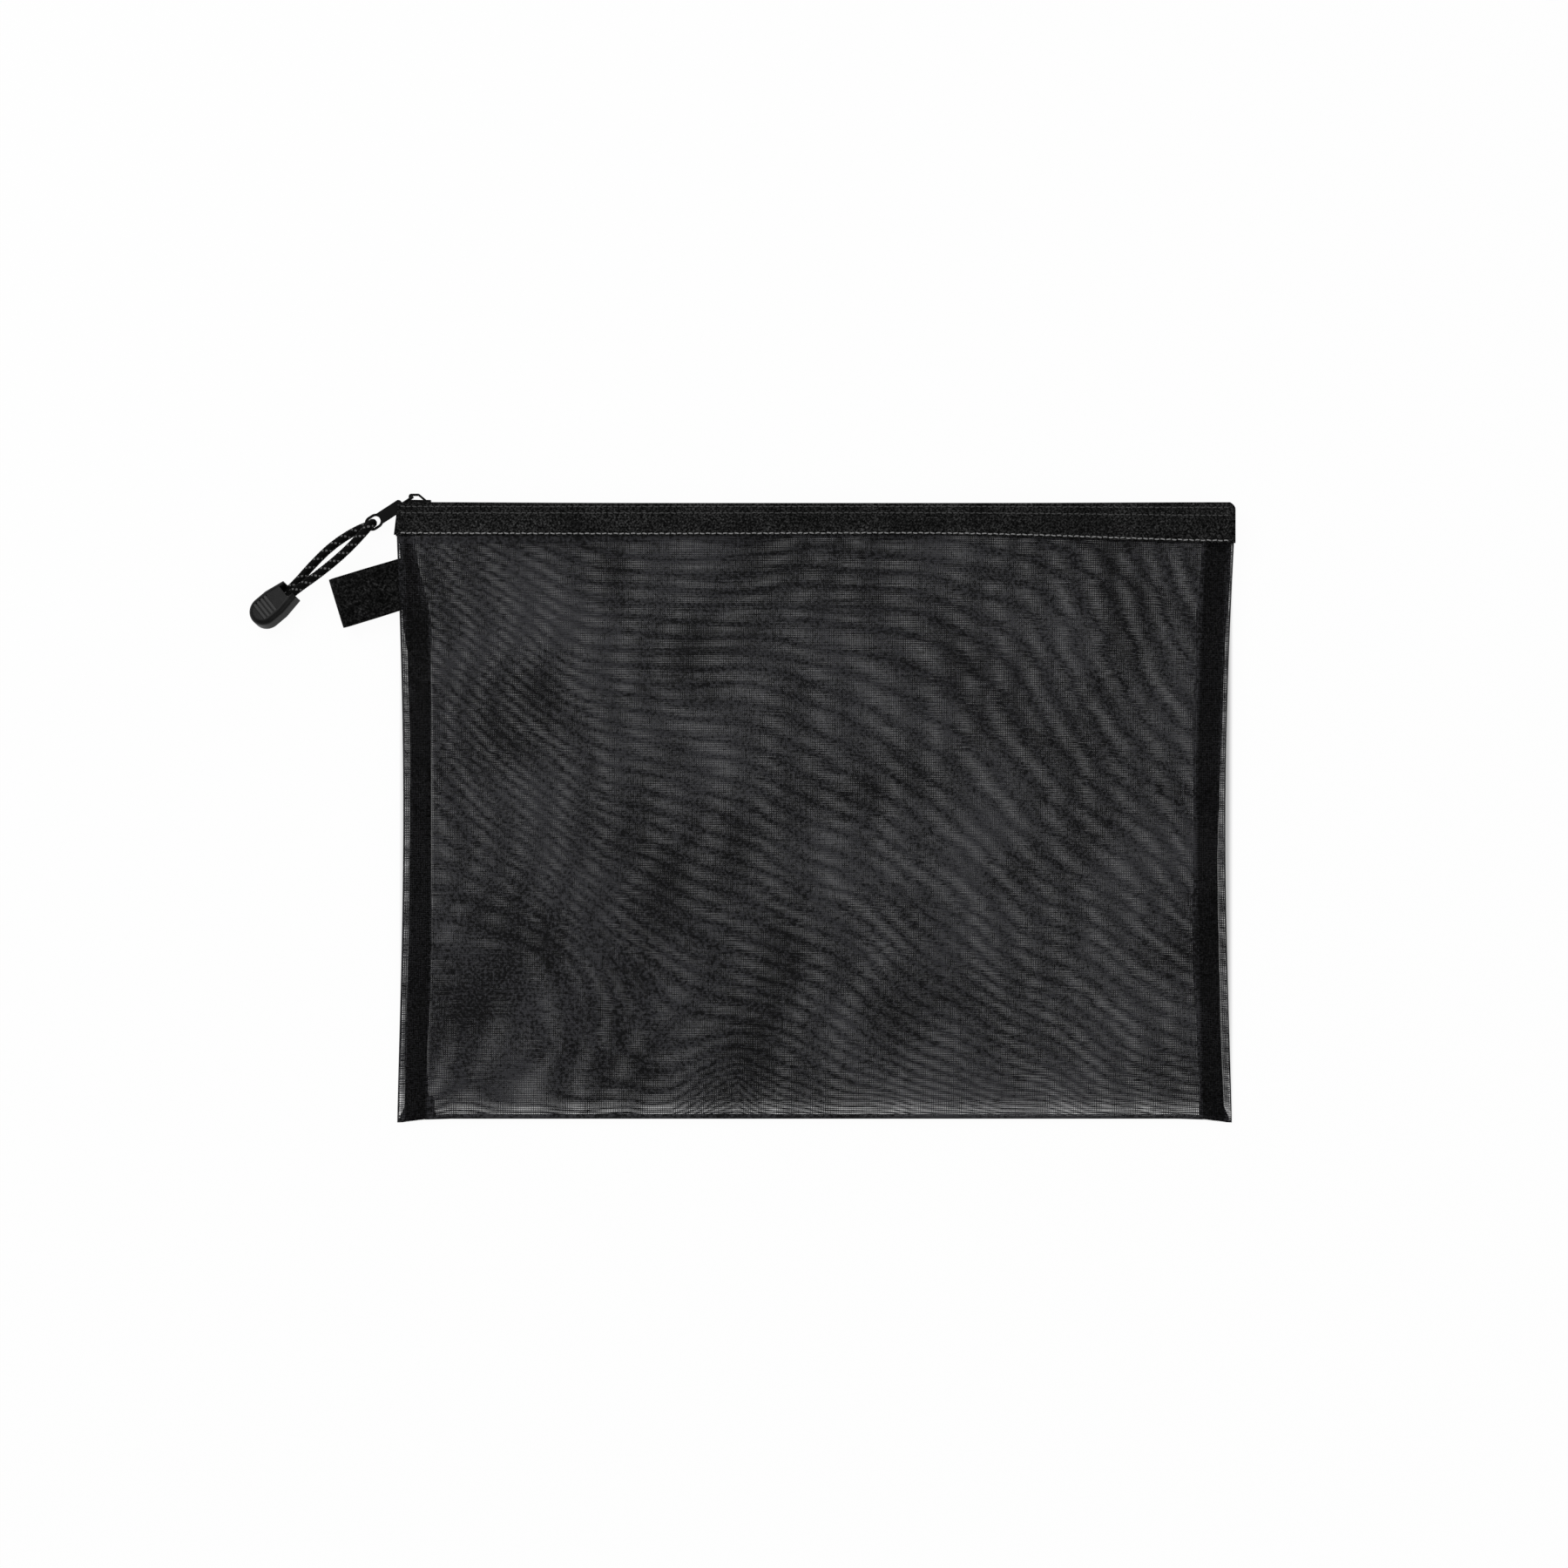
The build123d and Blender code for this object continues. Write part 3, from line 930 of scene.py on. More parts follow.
@dataclass
class Pouch:
    """The folded mesh sheet and the bound seams inside it. Lengths are millimetres."""

    pitch: float = 0.75
    cross_width: float = 0.385
    long_width: float = 0.3
    yarn_height: float = 0.2
    yarn_shares: tuple[tuple[float, float], ...] = ((-0.5, -0.4), (0.5, -0.4), (0.0, 0.6))
    top_rise: float = 1.5
    fold_half: float = 2.0
    fold_lift: float = 0.3
    fold_steepness: float = 1.4
    left_pull: float = 2.1
    left_flare: float = 0.5
    right_pull: float = 3.2
    right_inset: float = 0.8
    bow_power: float = 1.1
    ear_drop: float = 1.5
    ear_reach: float = 10.0
    sag_share: float = 0.42
    sag_waves: tuple[Wave, ...] = (Wave(0.06, 31, 47), Wave(0.05, 19, -29, 1))
    sag_side_power: float = 4.0
    sag_end_power: float = 0.8
    tuck: float = 0.75
    tuck_run: float = 9.0
    end_points: tuple[float, ...] = (0.0, 0.25, 0.9, 2.0, 3.6, 6.0)
    cross_points: int = 36
    fold_points: tuple[float, ...] = (0.0, 0.15, 0.5, 1.1, 2.0, 3.4)
    fold_run: float = 6.0
    long_points: int = 25
    hem_yarns: tuple[float, ...] = (0.0, 0.25)
    fold_yarns: tuple[float, ...] = (0.0, 0.2, 0.45, 0.75, 1.3, 1.6, 2.4)
    top_yarns: int = 7
    top_step: float = 0.37
    top_drop: float = 1.2
    top_slant: Ease = Ease(3.0, -150, 50)
    cross_jitter: float = 0.045
    long_jitter: float = 0.02
    jitter_lengths: tuple[float, ...] = (37.0, 53.0, 91.0)
    fold_thin: tuple[Bell, ...] = (Bell(0.3, 0, 13), Bell(0.1, 0, 4.5))
    corner_thick: tuple[Bell, ...] = (Bell(0.22, -110, 70, -70, 50), Bell(-0.07, 110, 70, -90, 45))
    bound: tuple[float, float] = (10.9, 12.7)
    bound_share: float = 0.16
    bound_top: Ease = Ease(6, 74, 108)
    edge_thick: Ease = Ease(0.62, 2, 4)
    bands: BandCourse = BandCourse()
    stripes: StripeCourse = StripeCourse()
    streak_waves: int = 14
    streak_across: tuple[float, float] = (45.0, 130.0)
    streak_up: tuple[float, float] = (7.0, 26.0)
    streak_size: float = 0.06
    wander_waves: int = 10
    wander_length: tuple[float, float] = (30.0, 95.0)
    band_wander: float = 0.12
    stripe_wander: float = 0.25
    search_up: float = 12.0
    search_up_points: int = 900
    search_across: float = 8.0
    search_across_points: int = 1100
    seed: int = 7
    map_margin: float = 0.02
    binding_thickness: float = 0.5
    binding_gap: float = 0.62
    foot_pinch: float = 0.3
    foot_pinch_reach: float = 2.0
    foot_lift: float = 0.2
    foot_run: float = 12.0
    foot_points: int = 24
    binding_points: int = 60
    binding_gap_up: float = 2.0
    binding_top: float = 4.0
    ear_lean: float = 1.9
    ear_lean_fade: Ease = Ease(1, 1, 7)
    binding_sway: tuple[Wave, ...] = (Wave(0.2, 37), Wave(0.12, 11))
    binding_ripple: float = 0.12
    binding_ripple_length: float = 9.0
    lip_points: int = 7
    courses: tuple[BindingCourse, ...] = (
        BindingCourse(
            "left_binding", side=-1,
            inset=2.7, inset_terms=(Ease(-1.8, 60, 78),),
            reach=15.4, reach_terms=(Bell(-1.7, -100, 22), Ease(-6.2, 74, 108)),
            foot_terms=(Ease(-2.2, 8.6, 9.4),)),
        BindingCourse(
            "right_binding", side=1,
            inset=3.2, inset_terms=(Ease(-1.4, -40, 60), Ease(-0.8, 70, 100)),
            reach=13.8, reach_terms=(Ease(2.7, -118, -50), Ease(-1.2, 30, 70), Ease(-2.2, 70, 108))),
    )

    def __post_init__(self) -> None:
        """Reads the places that follow from the frame."""
        self.low, self.high = node_box("mesh_body")
        self.high[1] += self.top_rise
        self.width, self.height = self.high[:2] - self.low[:2]
        self.tape_low = node_box("front_zip_tape")[0][1]
        slider_low, slider_high = node_box("slider_body")
        self.zip_z = (slider_low[2] + slider_high[2]) / 2
        self.random = np.random.default_rng(self.seed)

    def middle(self, y: Array) -> Array:
        """Height of the seam plane at y: it climbs evenly from the fold to the zip."""
        start = self.low[1] + self.fold_half
        return self.fold_half + (self.zip_z - self.fold_half) * (y - start) / (self.high[1] - start)

    def edges(self, y: Array) -> tuple[Array, Array]:
        """Left and right edge at y: half sine waves that draw the sides in at mid height.

        Args:
            y: Heights on the pouch.

        Returns:
            The two edges' X.
        """
        share = np.clip((y - self.low[1]) / self.height, 0, 1)
        bow = np.sin(math.pi * share ** self.bow_power)
        left = self.low[0] - self.left_flare * (1 - bow) + self.left_pull * bow
        right = self.high[0] - self.right_inset * (1 - share) - self.right_pull * bow
        return left, right

    def bottom(self, across: Array) -> Array:
        """Y of the fold, lower in a small bell at each corner; across runs from 0 to 1."""
        reach = np.minimum(across, 1 - across) * self.width / self.ear_reach
        return self.low[1] + self.fold_lift - self.ear_drop * np.exp(-reach ** 2)

    def hung(self, across: Array, y: Array) -> Array:
        """Y of points of a square sheet once its lower edge lies along the fold: an even stretch upwards."""
        bottom = self.bottom(across)
        return bottom + (self.high[1] - bottom) * (y - self.low[1]) / self.height

    def place(self, across: Array, y: Array, front: bool) -> Array:
        """Points of the front or the back sheet.

        The sheets part by the depth of the wedge, sag towards each other in the middle, and close round
        the sides and the fold along quarter circles.

        Args:
            across: Share of the width, from the left edge to the right.
            y: Heights, measured as on a square sheet.
            front: Whether the points are on the front sheet.

        Returns:
            Points shaped as across and y, with a last axis of 3.
        """
        left, right = self.edges(y)
        x = left + (right - left) * across
        share = np.clip((y - self.low[1]) / self.height, 0, 1)
        y = self.hung(across, y)
        middle = self.middle(y)
        radius = np.maximum(middle, self.fold_half)
        past_fold = (y - self.bottom(across)) * self.fold_steepness
        near = np.minimum(np.minimum(x - left, right - x), past_fold)
        inside = 1 - np.clip(near / radius, 0, 1)
        closing = np.sqrt(np.clip(1 - inside ** 2, 0, 1))
        tucked = self.tuck * smooth_step(y, self.tape_low - self.tuck_run, self.tape_low)
        depth = middle - self.yarn_height
        if not front:
            return np.stack((x, y, middle - (depth - tucked) * closing), axis=-1)
        belly = 1 - (2 * across - 1) ** self.sag_side_power
        belly = belly * np.sin(math.pi * share) ** self.sag_end_power
        sag = 2 * belly * (self.sag_share + total(self.sag_waves, x, y))
        return np.stack((x, y, middle + (depth * (1 - sag) - tucked) * closing), axis=-1)

    def streaks(self, x: Array, y: Array) -> Array:
        """Uneven weaving: a sum of random waves that are long across the pouch and short up it.

        Args:
            x: Place across the pouch.
            y: Place up the pouch.

        Returns:
            The slip that it adds, in yarns.
        """
        random = np.random.default_rng(self.seed)
        height = np.zeros(np.broadcast(x, y).shape)
        for _ in range(self.streak_waves):
            length_x = random.uniform(*self.streak_across) * random.choice((-1, 1))
            length_y = random.uniform(*self.streak_up)
            height += np.sin(TURN * (x / length_x + y / length_y + random.uniform(0, 1)))
        return height * self.streak_size * math.sqrt(2 / self.streak_waves)

    def wander(self, x: Array, y: Array, sheet: int) -> Array:
        """Uneven strain of the cloth: a sum of random waves in every direction, about one in size.

        Args:
            x: Place across the pouch.
            y: Place up the pouch.
            sheet: Number that picks the waves.

        Returns:
            The sum.
        """
        random = np.random.default_rng(self.seed + sheet)
        height = np.zeros(np.broadcast(x, y).shape)
        for _ in range(self.wander_waves):
            heading = random.uniform(0, TURN)
            length = random.uniform(*self.wander_length)
            run = x * math.cos(heading) + y * math.sin(heading)
            height += np.sin(TURN * (run / length + random.uniform(0, 1)))
        return height * math.sqrt(2 / self.wander_waves)

    def yarns(self, front: bool) -> tuple[Array, Array]:
        """Paths of the cross yarns and of the long yarns of one sheet.

        Args:
            front: Whether the sheet is the front one.

        Returns:
            Cross yarns shaped (n, m, 3) and long yarns shaped (k, l, 3).
        """
        low, high, width = self.low, self.high, self.width
        ends = np.array((*self.end_points, self.bound[0])) / width
        inner = self.bound[1] / width
        across = np.concatenate((ends, np.linspace(inner, 1 - inner, self.cross_points), 1 - ends[::-1]))
        even = np.linspace(low[1] + self.fold_run, high[1], self.long_points)
        up = np.concatenate((low[1] + np.array(self.fold_points), even))
        square_x = low[0] + width * across
        if front:
            rows = np.arange(low[1] + self.pitch / 2, high[1], self.pitch)[:, None]
            columns = np.arange(self.pitch, width - self.pitch, self.pitch)[:, None] / width
            cross_y = np.broadcast_to(rows, (len(rows), len(across)))
            long_across = np.broadcast_to(columns, (len(columns), len(up)))
        else:
            cross_y, long_across = self.slipped(square_x, up)
        cross_y = cross_y + self.cross_jitter * self.unevenness(len(cross_y), square_x)
        long_across = long_across + self.long_jitter / width * self.unevenness(len(long_across), up)
        hem = np.array(self.hem_yarns)[:, None] / width
        hem = np.broadcast_to(np.concatenate((hem, 1 - hem)), (2 * len(hem), len(up)))
        folded = low[1] + np.array(self.fold_yarns)[:, None]
        folded = np.broadcast_to(folded, (len(folded), len(across)))
        top = self.tape_low - self.top_drop + self.top_slant.at(square_x)
        top = top + self.top_step * np.arange(self.top_yarns)[:, None]
        cross_y = np.clip(np.concatenate((cross_y, folded, top)), low[1], high[1])
        long_across = np.clip(np.concatenate((long_across, hem)), 0, 1)
        cross = self.place(np.broadcast_to(across, cross_y.shape), cross_y, front)
        along = self.place(long_across, np.broadcast_to(up, long_across.shape), front)
        return cross, along

    def unevenness(self, count: int, places: Array) -> Array:
        """How each yarn strays from its line: its own sum of waves along it, about one in size.

        Args:
            count: Number of yarns.
            places: Places along a yarn.

        Returns:
            The strays, shaped (count, places).
        """
        lengths = np.array(self.jitter_lengths)
        starts = self.random.uniform(0, TURN, (count, 1, len(lengths)))
        waves = np.sin(places[None, :, None] * TURN / lengths + starts)
        return waves.sum(axis=-1) * math.sqrt(2 / len(lengths))

    def width_share(self, places: Array) -> Array:
        """Factor on a yarn's width at points of the sheet.

        It is less along the fold, over the bindings and at the low right, and more at the low left and where
        the sheet rolls round its side edges.

        Args:
            places: Points shaped (..., 3).

        Returns:
            The factors, shaped (...).
        """
        x, y = places[..., 0], places[..., 1]
        left, right = self.edges(y)
        side = np.minimum(x - left, right - x)
        fold = total(self.fold_thin, np.maximum(y - self.low[1], 0))
        past_binding = smooth_step(side + self.bound_top.at(y) * (x < 0), *self.bound)
        rolled = self.edge_thick.size - self.edge_thick.at(side)
        seam = self.bound_share + (1 - self.bound_share) * past_binding + rolled
        return (1 - fold + total(self.corner_thick, x, y)) * seam

    @staticmethod
    def whole_slips(count: Array, places: Array, low: float, high: float) -> Array:
        """Places at which a count of yarns is a whole number.

        Args:
            count: The count along each of several lines, shaped (lines, places).
            places: The places along a line.
            low: Place of the sheet's first edge.
            high: Place of its last edge.

        Returns:
            A row for each yarn that comes between the edges, shaped (yarns, lines).
        """
        whole = np.arange(math.ceil(count.min()), math.floor(count.max()))
        found = np.stack([np.interp(whole, line, places) for line in count], axis=1)
        return found[(found.max(axis=1) > low) & (found.min(axis=1) < high)]

    def slipped(self, square_x: Array, up: Array) -> tuple[Array, Array]:
        """Yarns of the back sheet, each where its count plus its slip is a whole number.

        Args:
            square_x: X of the points along a cross yarn.
            up: Y of the points along a long yarn.

        Returns:
            Heights of the cross yarns and shares across of the long yarns.
        """
        low, high = self.low, self.high
        start, end = low[1] - self.search_up, high[1] + self.search_up
        y = np.linspace(start, end, self.search_up_points)
        x = square_x[:, None]
        slip = self.bands.at(x, y, low[1]) + self.streaks(x, y) + self.band_wander * self.wander(x, y, 1)
        cross_y = self.whole_slips(y / self.pitch + slip, y, low[1], high[1])
        start, end = low[0] - self.search_across, high[0] + self.search_across
        x = np.linspace(start, end, self.search_across_points)
        slip = self.stripes.at(x, up[:, None]) + self.stripe_wander * self.wander(x, up[:, None], 2)
        long_x = self.whole_slips(x / self.pitch + slip, x, low[0], high[0])
        return cross_y, (long_x - low[0]) / self.width

    def net(self, name: str, front: bool, material: bpy.types.Material) -> bpy.types.Object:
        """One sheet of the net: each yarn is a three-sided rod along its path.

        Args:
            name: Name of the piece.
            front: Whether it is the front sheet.
            material: Its finish.

        Returns:
            The object.
        """
        profile = np.array(self.yarn_shares)
        profile = profile if front else profile[::-1] * np.array((1, -1))
        sides = len(profile)
        cross, along = self.yarns(front)
        points, quads, triangles, count = [], [], [], 0
        kinds = ((cross, (0, -1, 0), self.cross_width), (along, (1, 0, 0), self.long_width))
        for paths, hint, width in kinds:
            side, up = tube_frames(paths, np.array(hint, dtype=float))
            section = profile * np.array((width, self.yarn_height))
            solid = tube_points(paths, side, up, section, self.width_share(paths))
            yarns, rings = paths.shape[:2]
            last = (rings - 1) * sides
            caps = np.array(((0, 2, 1), (last, last + 1, last + 2)))
            quads.append(many_faces(wall_quads(rings, sides), rings * sides, yarns) + count)
            triangles.append(many_faces(caps, rings * sides, yarns) + count)
            points.append(solid.reshape(-1, 3))
            count += len(points[-1])
        mesh = make_mesh(name, np.concatenate(points), np.concatenate(quads), np.concatenate(triangles))
        self.bake_map(mesh)
        piece = Piece(name, "pouch", "mesh", ("mesh_body",), smooth=False).add(mesh, material)
        return piece

    def bake_map(self, mesh: bpy.types.Mesh) -> None:
        """Gives a net a map that lays each point at its place on the flat sheet.

        Args:
            mesh: Mesh of the net.
        """
        layer = mesh.uv_layers.new(name="OFBake")
        places = np.empty(len(mesh.vertices) * 3, dtype=np.float32)
        mesh.vertices.foreach_get("co", places)
        places = places.reshape(-1, 3)[:, :2] / MM
        share = (places - self.low[:2]) / np.array((self.width, self.height))
        flat = np.clip(share * (1 - 2 * self.map_margin) + self.map_margin, 0, 1)
        corners = np.empty(len(mesh.loops), dtype=np.int32)
        mesh.loops.foreach_get("vertex_index", corners)
        layer.data.foreach_set("uv", flat[corners].astype(np.float32).ravel())

    def binding(self, course: BindingCourse, material: bpy.types.Material) -> bpy.types.Object:
        """Binding tape folded over the seam allowance: a U-shaped section carried up the seam.

        Args:
            course: Which binding it is and where its edges run.
            material: Its finish.

        Returns:
            The object.
        """
        side = course.side
        foot = self.low[1] + self.foot_lift
        low_end = np.linspace(foot, foot + self.foot_run, self.foot_points)
        start, end = low_end[-1] + self.binding_gap_up, self.tape_low + self.binding_top
        y = np.concatenate((low_end, np.linspace(start, end, self.binding_points)))
        up = y - foot
        left, right = self.edges(y)
        pouch_edge, box_side = (left, self.low[0]) if side < 0 else (right, self.high[0])
        lean = side * self.ear_lean * (1 - self.ear_lean_fade.at(up))
        sway = total(self.binding_sway, y) + lean
        outer = pouch_edge - side * (course.inset + total(course.inset_terms, y)) + sway
        reach = course.reach + total(course.reach_terms, y) + total(course.foot_terms, up)
        inner = box_side - side * reach
        gap = self.binding_gap - self.foot_pinch * np.exp(-up / self.foot_pinch_reach)
        lip = np.linspace(0, 1, self.lip_points)
        turn = np.linspace(0, math.pi, self.lip_points)[1:-1]
        walls = []
        for half in (gap + self.binding_thickness, gap):
            nose_x = inner[:, None] + side * half[:, None] * (1 - np.sin(turn))
            nose_z = half[:, None] * np.cos(turn)
            flat_x = outer[:, None] + (inner + side * half - outer)[:, None] * lip
            flat_z = np.broadcast_to(half[:, None], flat_x.shape)
            wall_x = np.concatenate((flat_x, nose_x, flat_x[:, ::-1]), axis=1)
            wall_z = np.concatenate((flat_z, nose_z, -flat_z[:, ::-1]), axis=1)
            walls.append(np.stack((wall_x, wall_z), axis=-1))
        section = np.concatenate((walls[0], walls[1][:, ::-1]), axis=1)
        ripple = Wave(self.binding_ripple, self.binding_ripple_length, start=side).at(y)
        x, z = section[..., 0], section[..., 1] + (self.middle(y) + ripple)[:, None]
        across = (x - left[:, None]) / (right - left)[:, None]
        points = np.stack((x, self.hung(across, y[:, None]), z), axis=-1)
        mesh = make_mesh(course.node, points, strip_quads(*z.shape, turned=side > 0))
        return Piece(course.node + "_tape", "pouch", "binding", (course.node,)).add(mesh, material)

    def build(self, finishes: Finishes) -> None:
        """Builds both sheets and both bindings.

        Args:
            finishes: The wallet's finishes.
        """
        net = finishes.net.build()
        self.net("mesh_front", front=True, material=net)
        self.net("mesh_back", front=False, material=net)
        woven = finishes.binding.build()
        for course in self.courses:
            self.binding(course, woven)


class Thread(Enum):
    """Shades of the zip's sewing thread."""

    PALE = "pale"
    DARK = "dark"


@dataclass(frozen=True)
class StitchRow:
    """A row of stitches: its drop below the tape's top and its sink into the tape, in millimetres."""

    name: str
    drop: float
    sink: float
    thread: Thread


@dataclass
class Zip:
    """Both zip tapes with their stitching, and the two rows of coil. Lengths are millimetres."""

    thickness: float = 0.5
    edge: float = 1.0
    shoulder_rise: float = 1.4
    shoulder_run: float = 1.0
    flat_points: int = 5
    arch_points: int = 9
    arch_turn: float = 0.72
    arch_power: float = 1.6
    arch_peak: float = 0.7
    arch_fall: float = 4.0
    fall_gap: float = 0.5
    fall_points: int = 16
    length_points: int = 150
    left_gap: float = 0.3
    left_slant: float = 1.6
    right_round: float = 2.2
    right_round_share: float = 6.0
    top_gap: float = 0.2
    hem_rise: float = 1.9
    hem_fall: Ease = Ease(1.0, 20, 175)
    hem_drop: float = 3.0
    hem_power: float = 1.5
    ripples: tuple[Wave, ...] = (Wave(0.10, 17), Wave(0.06, 7.3, start=1))
    sway: Wave = Wave(0.16, 38, start=0.5)
    end_lift: float = 0.35
    end_lift_power: int = 6
    stitch_pitch: float = 2.3
    stitch_share: float = 0.72
    stitch_width: float = 0.5
    stitch_height: float = 0.4
    stitch_lift: float = 0.22
    stitch_lift_power: float = 0.6
    stitch_slant: Wave = Wave(0.12, 1 / 1.7)
    stitch_points: int = 7
    stitch_start: float = 1.5
    stitch_end: float = 3.0
    thread_sides: int = 6
    stitch_rows: tuple[StitchRow, ...] = (
        StitchRow("hem_stitches", drop=13.9, sink=0.04, thread=Thread.PALE),
        StitchRow("row_stitches", drop=4.6, sink=0.08, thread=Thread.DARK),
        StitchRow("top_stitches", drop=1.7, sink=0.04, thread=Thread.DARK),
    )
    coil_pitch: float = 1.7
    coil_wire: float = 0.5
    coil_back: float = 2.1
    coil_overlap: float = 0.45
    coil_height: float = 1.4
    coil_points: int = 14
    spread: float = 1.1
    split_start: float = 0.4
    split_end: float = 5.9

    def __post_init__(self) -> None:
        """Reads the places that follow from the frame."""
        self.low, self.high = node_box("front_zip_tape")
        self.height = self.high[1] - self.low[1]
        slider_low, slider_high = node_box("slider_body")
        self.slider_x = slider_low[0]
        self.zip_z = (slider_low[2] + slider_high[2]) / 2

    def hem(self, x: Array) -> Array:
        """Y of a tape's lower edge at x: level for most of its length, and lower towards the right end."""
        return self.low[1] + self.hem_rise - self.hem_drop * self.hem_fall.at(x) ** self.hem_power

    def drape(self, x: Array, y: Place) -> Array:
        """Y at which a point of the square tape lies, once the tape hangs down to its hem."""
        top = self.high[1]
        return top - (top - y + self.top_gap) * (top - self.hem(x)) / self.height

    def section(self, side: int) -> tuple[Array, Array]:
        """Middle line of a tape: flat under the teeth, over the shoulder, and down outside the mesh.

        Args:
            side: 1 for the front tape, -1 for the back one.

        Returns:
            Points (y, z) of the line and the unit normals on its outer side.
        """
        out = self.high[2] - self.zip_z - self.thickness / 2
        top = self.high[1] - self.thickness / 2
        flat = top - self.shoulder_rise
        base_u = np.linspace(self.edge, out - self.shoulder_run, self.flat_points)
        arch = np.linspace(0, 1, self.arch_points)
        arch_u = out - self.shoulder_run + self.shoulder_run * arch
        climb = np.sin(math.pi * np.minimum(arch * self.arch_turn, 0.5)) ** self.arch_power
        over = top - (arch - self.arch_peak) ** 2 * self.arch_fall
        arch_y = np.where(arch > self.arch_peak, over, flat + (top - flat) * climb)
        fall_y = np.linspace(arch_y[-1] - self.fall_gap, self.low[1], self.fall_points)
        y = np.concatenate((np.full(self.flat_points, flat), arch_y[1:], fall_y))
        u = np.concatenate((base_u, arch_u[1:], np.full(self.fall_points, out)))
        line = np.stack((y, u), axis=-1)
        along = unit(np.gradient(line, axis=0))
        normal = np.stack((along[:, 1], -along[:, 0]), axis=-1)
        line[:, 1] = self.zip_z + side * line[:, 1]
        normal[:, 1] *= side
        return line, normal

    def tape(self, name: str, side: int, material: bpy.types.Material) -> bpy.types.Object:
        """A zip tape: its section carried along X with slight ripples, thickened both ways.

        Args:
            name: Name of the node that it replaces.
            side: 1 for the front tape, -1 for the back one.
            material: Its finish.

        Returns:
            The object.
        """
        ring = thickened(*self.section(side), self.thickness)
        hang = np.clip((self.high[1] - ring[:, 0]) / self.height, 0, 1)
        along = np.linspace(0, 1, self.length_points)[:, None]
        start = self.low[0] + self.left_gap - self.left_slant * hang
        end = self.high[0] - self.right_round * np.clip(1 - hang * self.right_round_share, 0, 1) ** 2
        x = start + (end - start) * along
        ripple = abs(total(self.ripples, x) * hang)
        lift = self.end_lift * np.cos(math.pi * along) ** self.end_lift_power * (1 - hang)
        y = self.drape(x, ring[:, 0]) + self.sway.at(x) * hang + lift
        points = np.stack((x, y, ring[:, 1] - side * ripple), axis=-1)
        piece = Piece(name.replace("zip_tape", "woven_tape"), "pouch", "zip_tape", (name,))
        return piece.add(make_mesh(name, points, strip_quads(*x.shape, turned=side < 0)), material)

    def stitches(self, name: str, side: int, row: StitchRow,
                 material: bpy.types.Material) -> bpy.types.Object:
        """A row of stitches: short rods along X that rise out of the tape and dip back into it.

        Args:
            name: Name of the piece.
            side: 1 on the front tape, -1 on the back one.
            row: Where the row runs.
            material: Finish of the thread.

        Returns:
            The object.
        """
        first, last = self.low[0] + self.stitch_start, self.high[0] - self.stitch_end
        starts = np.arange(first, last, self.stitch_pitch)
        along = np.linspace(0, 1, self.stitch_points)
        x = starts[:, None] + along * self.stitch_pitch * self.stitch_share
        lift = np.sin(math.pi * along) ** self.stitch_lift_power * self.stitch_lift - row.sink
        face = self.high[2] if side > 0 else node_box("back_zip_tape")[0][2]
        hang = row.drop / self.height
        y = self.drape(x, self.high[1] - row.drop) + self.sway.at(x) * hang + self.stitch_slant.at(x)
        z = face + side * (lift - abs(total(self.ripples, x)) * hang)
        path = np.stack((x, y, z), axis=-1)
        across, up = tube_frames(path, np.array((0.0, -1.0, 0.0)))
        profile = ellipse(self.stitch_width, self.stitch_height, self.thread_sides)
        points = tube_points(path, across, up, profile)
        mesh = make_mesh(name, points, rod_quads(*x.shape, self.thread_sides))
        return Piece(name, "pouch", "zip_tape").add(mesh, material)

    def coil(self, name: str, side: int, material: bpy.types.Material) -> bpy.types.Object:
        """A row of coil: one wire wound in flat loops, a loop for each tooth.

        Each turn goes out over the middle and back along an ellipse while it moves on by one pitch.
        Inside the slider the row stands further out.

        Args:
            name: Name of the node that it replaces.
            side: 1 for the front row, -1 for the back one.
            material: Its finish.

        Returns:
            The object.
        """
        low, high = node_box(name)
        turns = int((high[0] - low[0]) / self.coil_pitch) - 1
        turn = np.arange(turns * self.coil_points + 1) / self.coil_points
        half_step = 0.0 if side > 0 else self.coil_pitch / 2
        x = low[0] + self.coil_wire + turn * self.coil_pitch + half_step
        reach = (self.coil_back + self.coil_overlap - self.coil_wire) / 2
        centre = (self.coil_back - self.coil_overlap) / 2
        parting = (self.slider_x + self.split_end - x) / (self.split_end - self.split_start)
        u = centre + reach * np.cos(turn * TURN) + self.spread * np.clip(parting, 0, 1)
        rise = (self.coil_height - self.coil_wire) / 2
        y = (low[1] + high[1]) / 2 + rise * np.sin(turn * TURN) * side
        path = np.stack((x, y, self.zip_z + side * u), axis=-1)
        across, up = tube_frames(path, np.array((1.0, 0.0, 0.0)))
        points = tube_points(path, across, up, ellipse(self.coil_wire, self.coil_wire, self.thread_sides))
        mesh = make_mesh(name, points, rod_quads(1, len(path), self.thread_sides))
        return Piece(name + "_wire", "pouch", "zip_teeth", (name,)).add(mesh, material)

    def build(self, finishes: Finishes) -> None:
        """Builds the tapes, their stitching and the coils.

        Args:
            finishes: The wallet's finishes.
        """
        woven = finishes.tape.build()
        threads = {Thread.PALE: finishes.stitch.build(), Thread.DARK: finishes.seam.build()}
        nylon = finishes.coil.build()
        for word, side in (("front", 1), ("back", -1)):
            self.tape(f"{word}_zip_tape", side, woven)
            for row in self.stitch_rows:
                self.stitches(f"{word}_{row.name}", side, row, threads[row.thread])
            self.coil(f"{word}_coil", side, nylon)


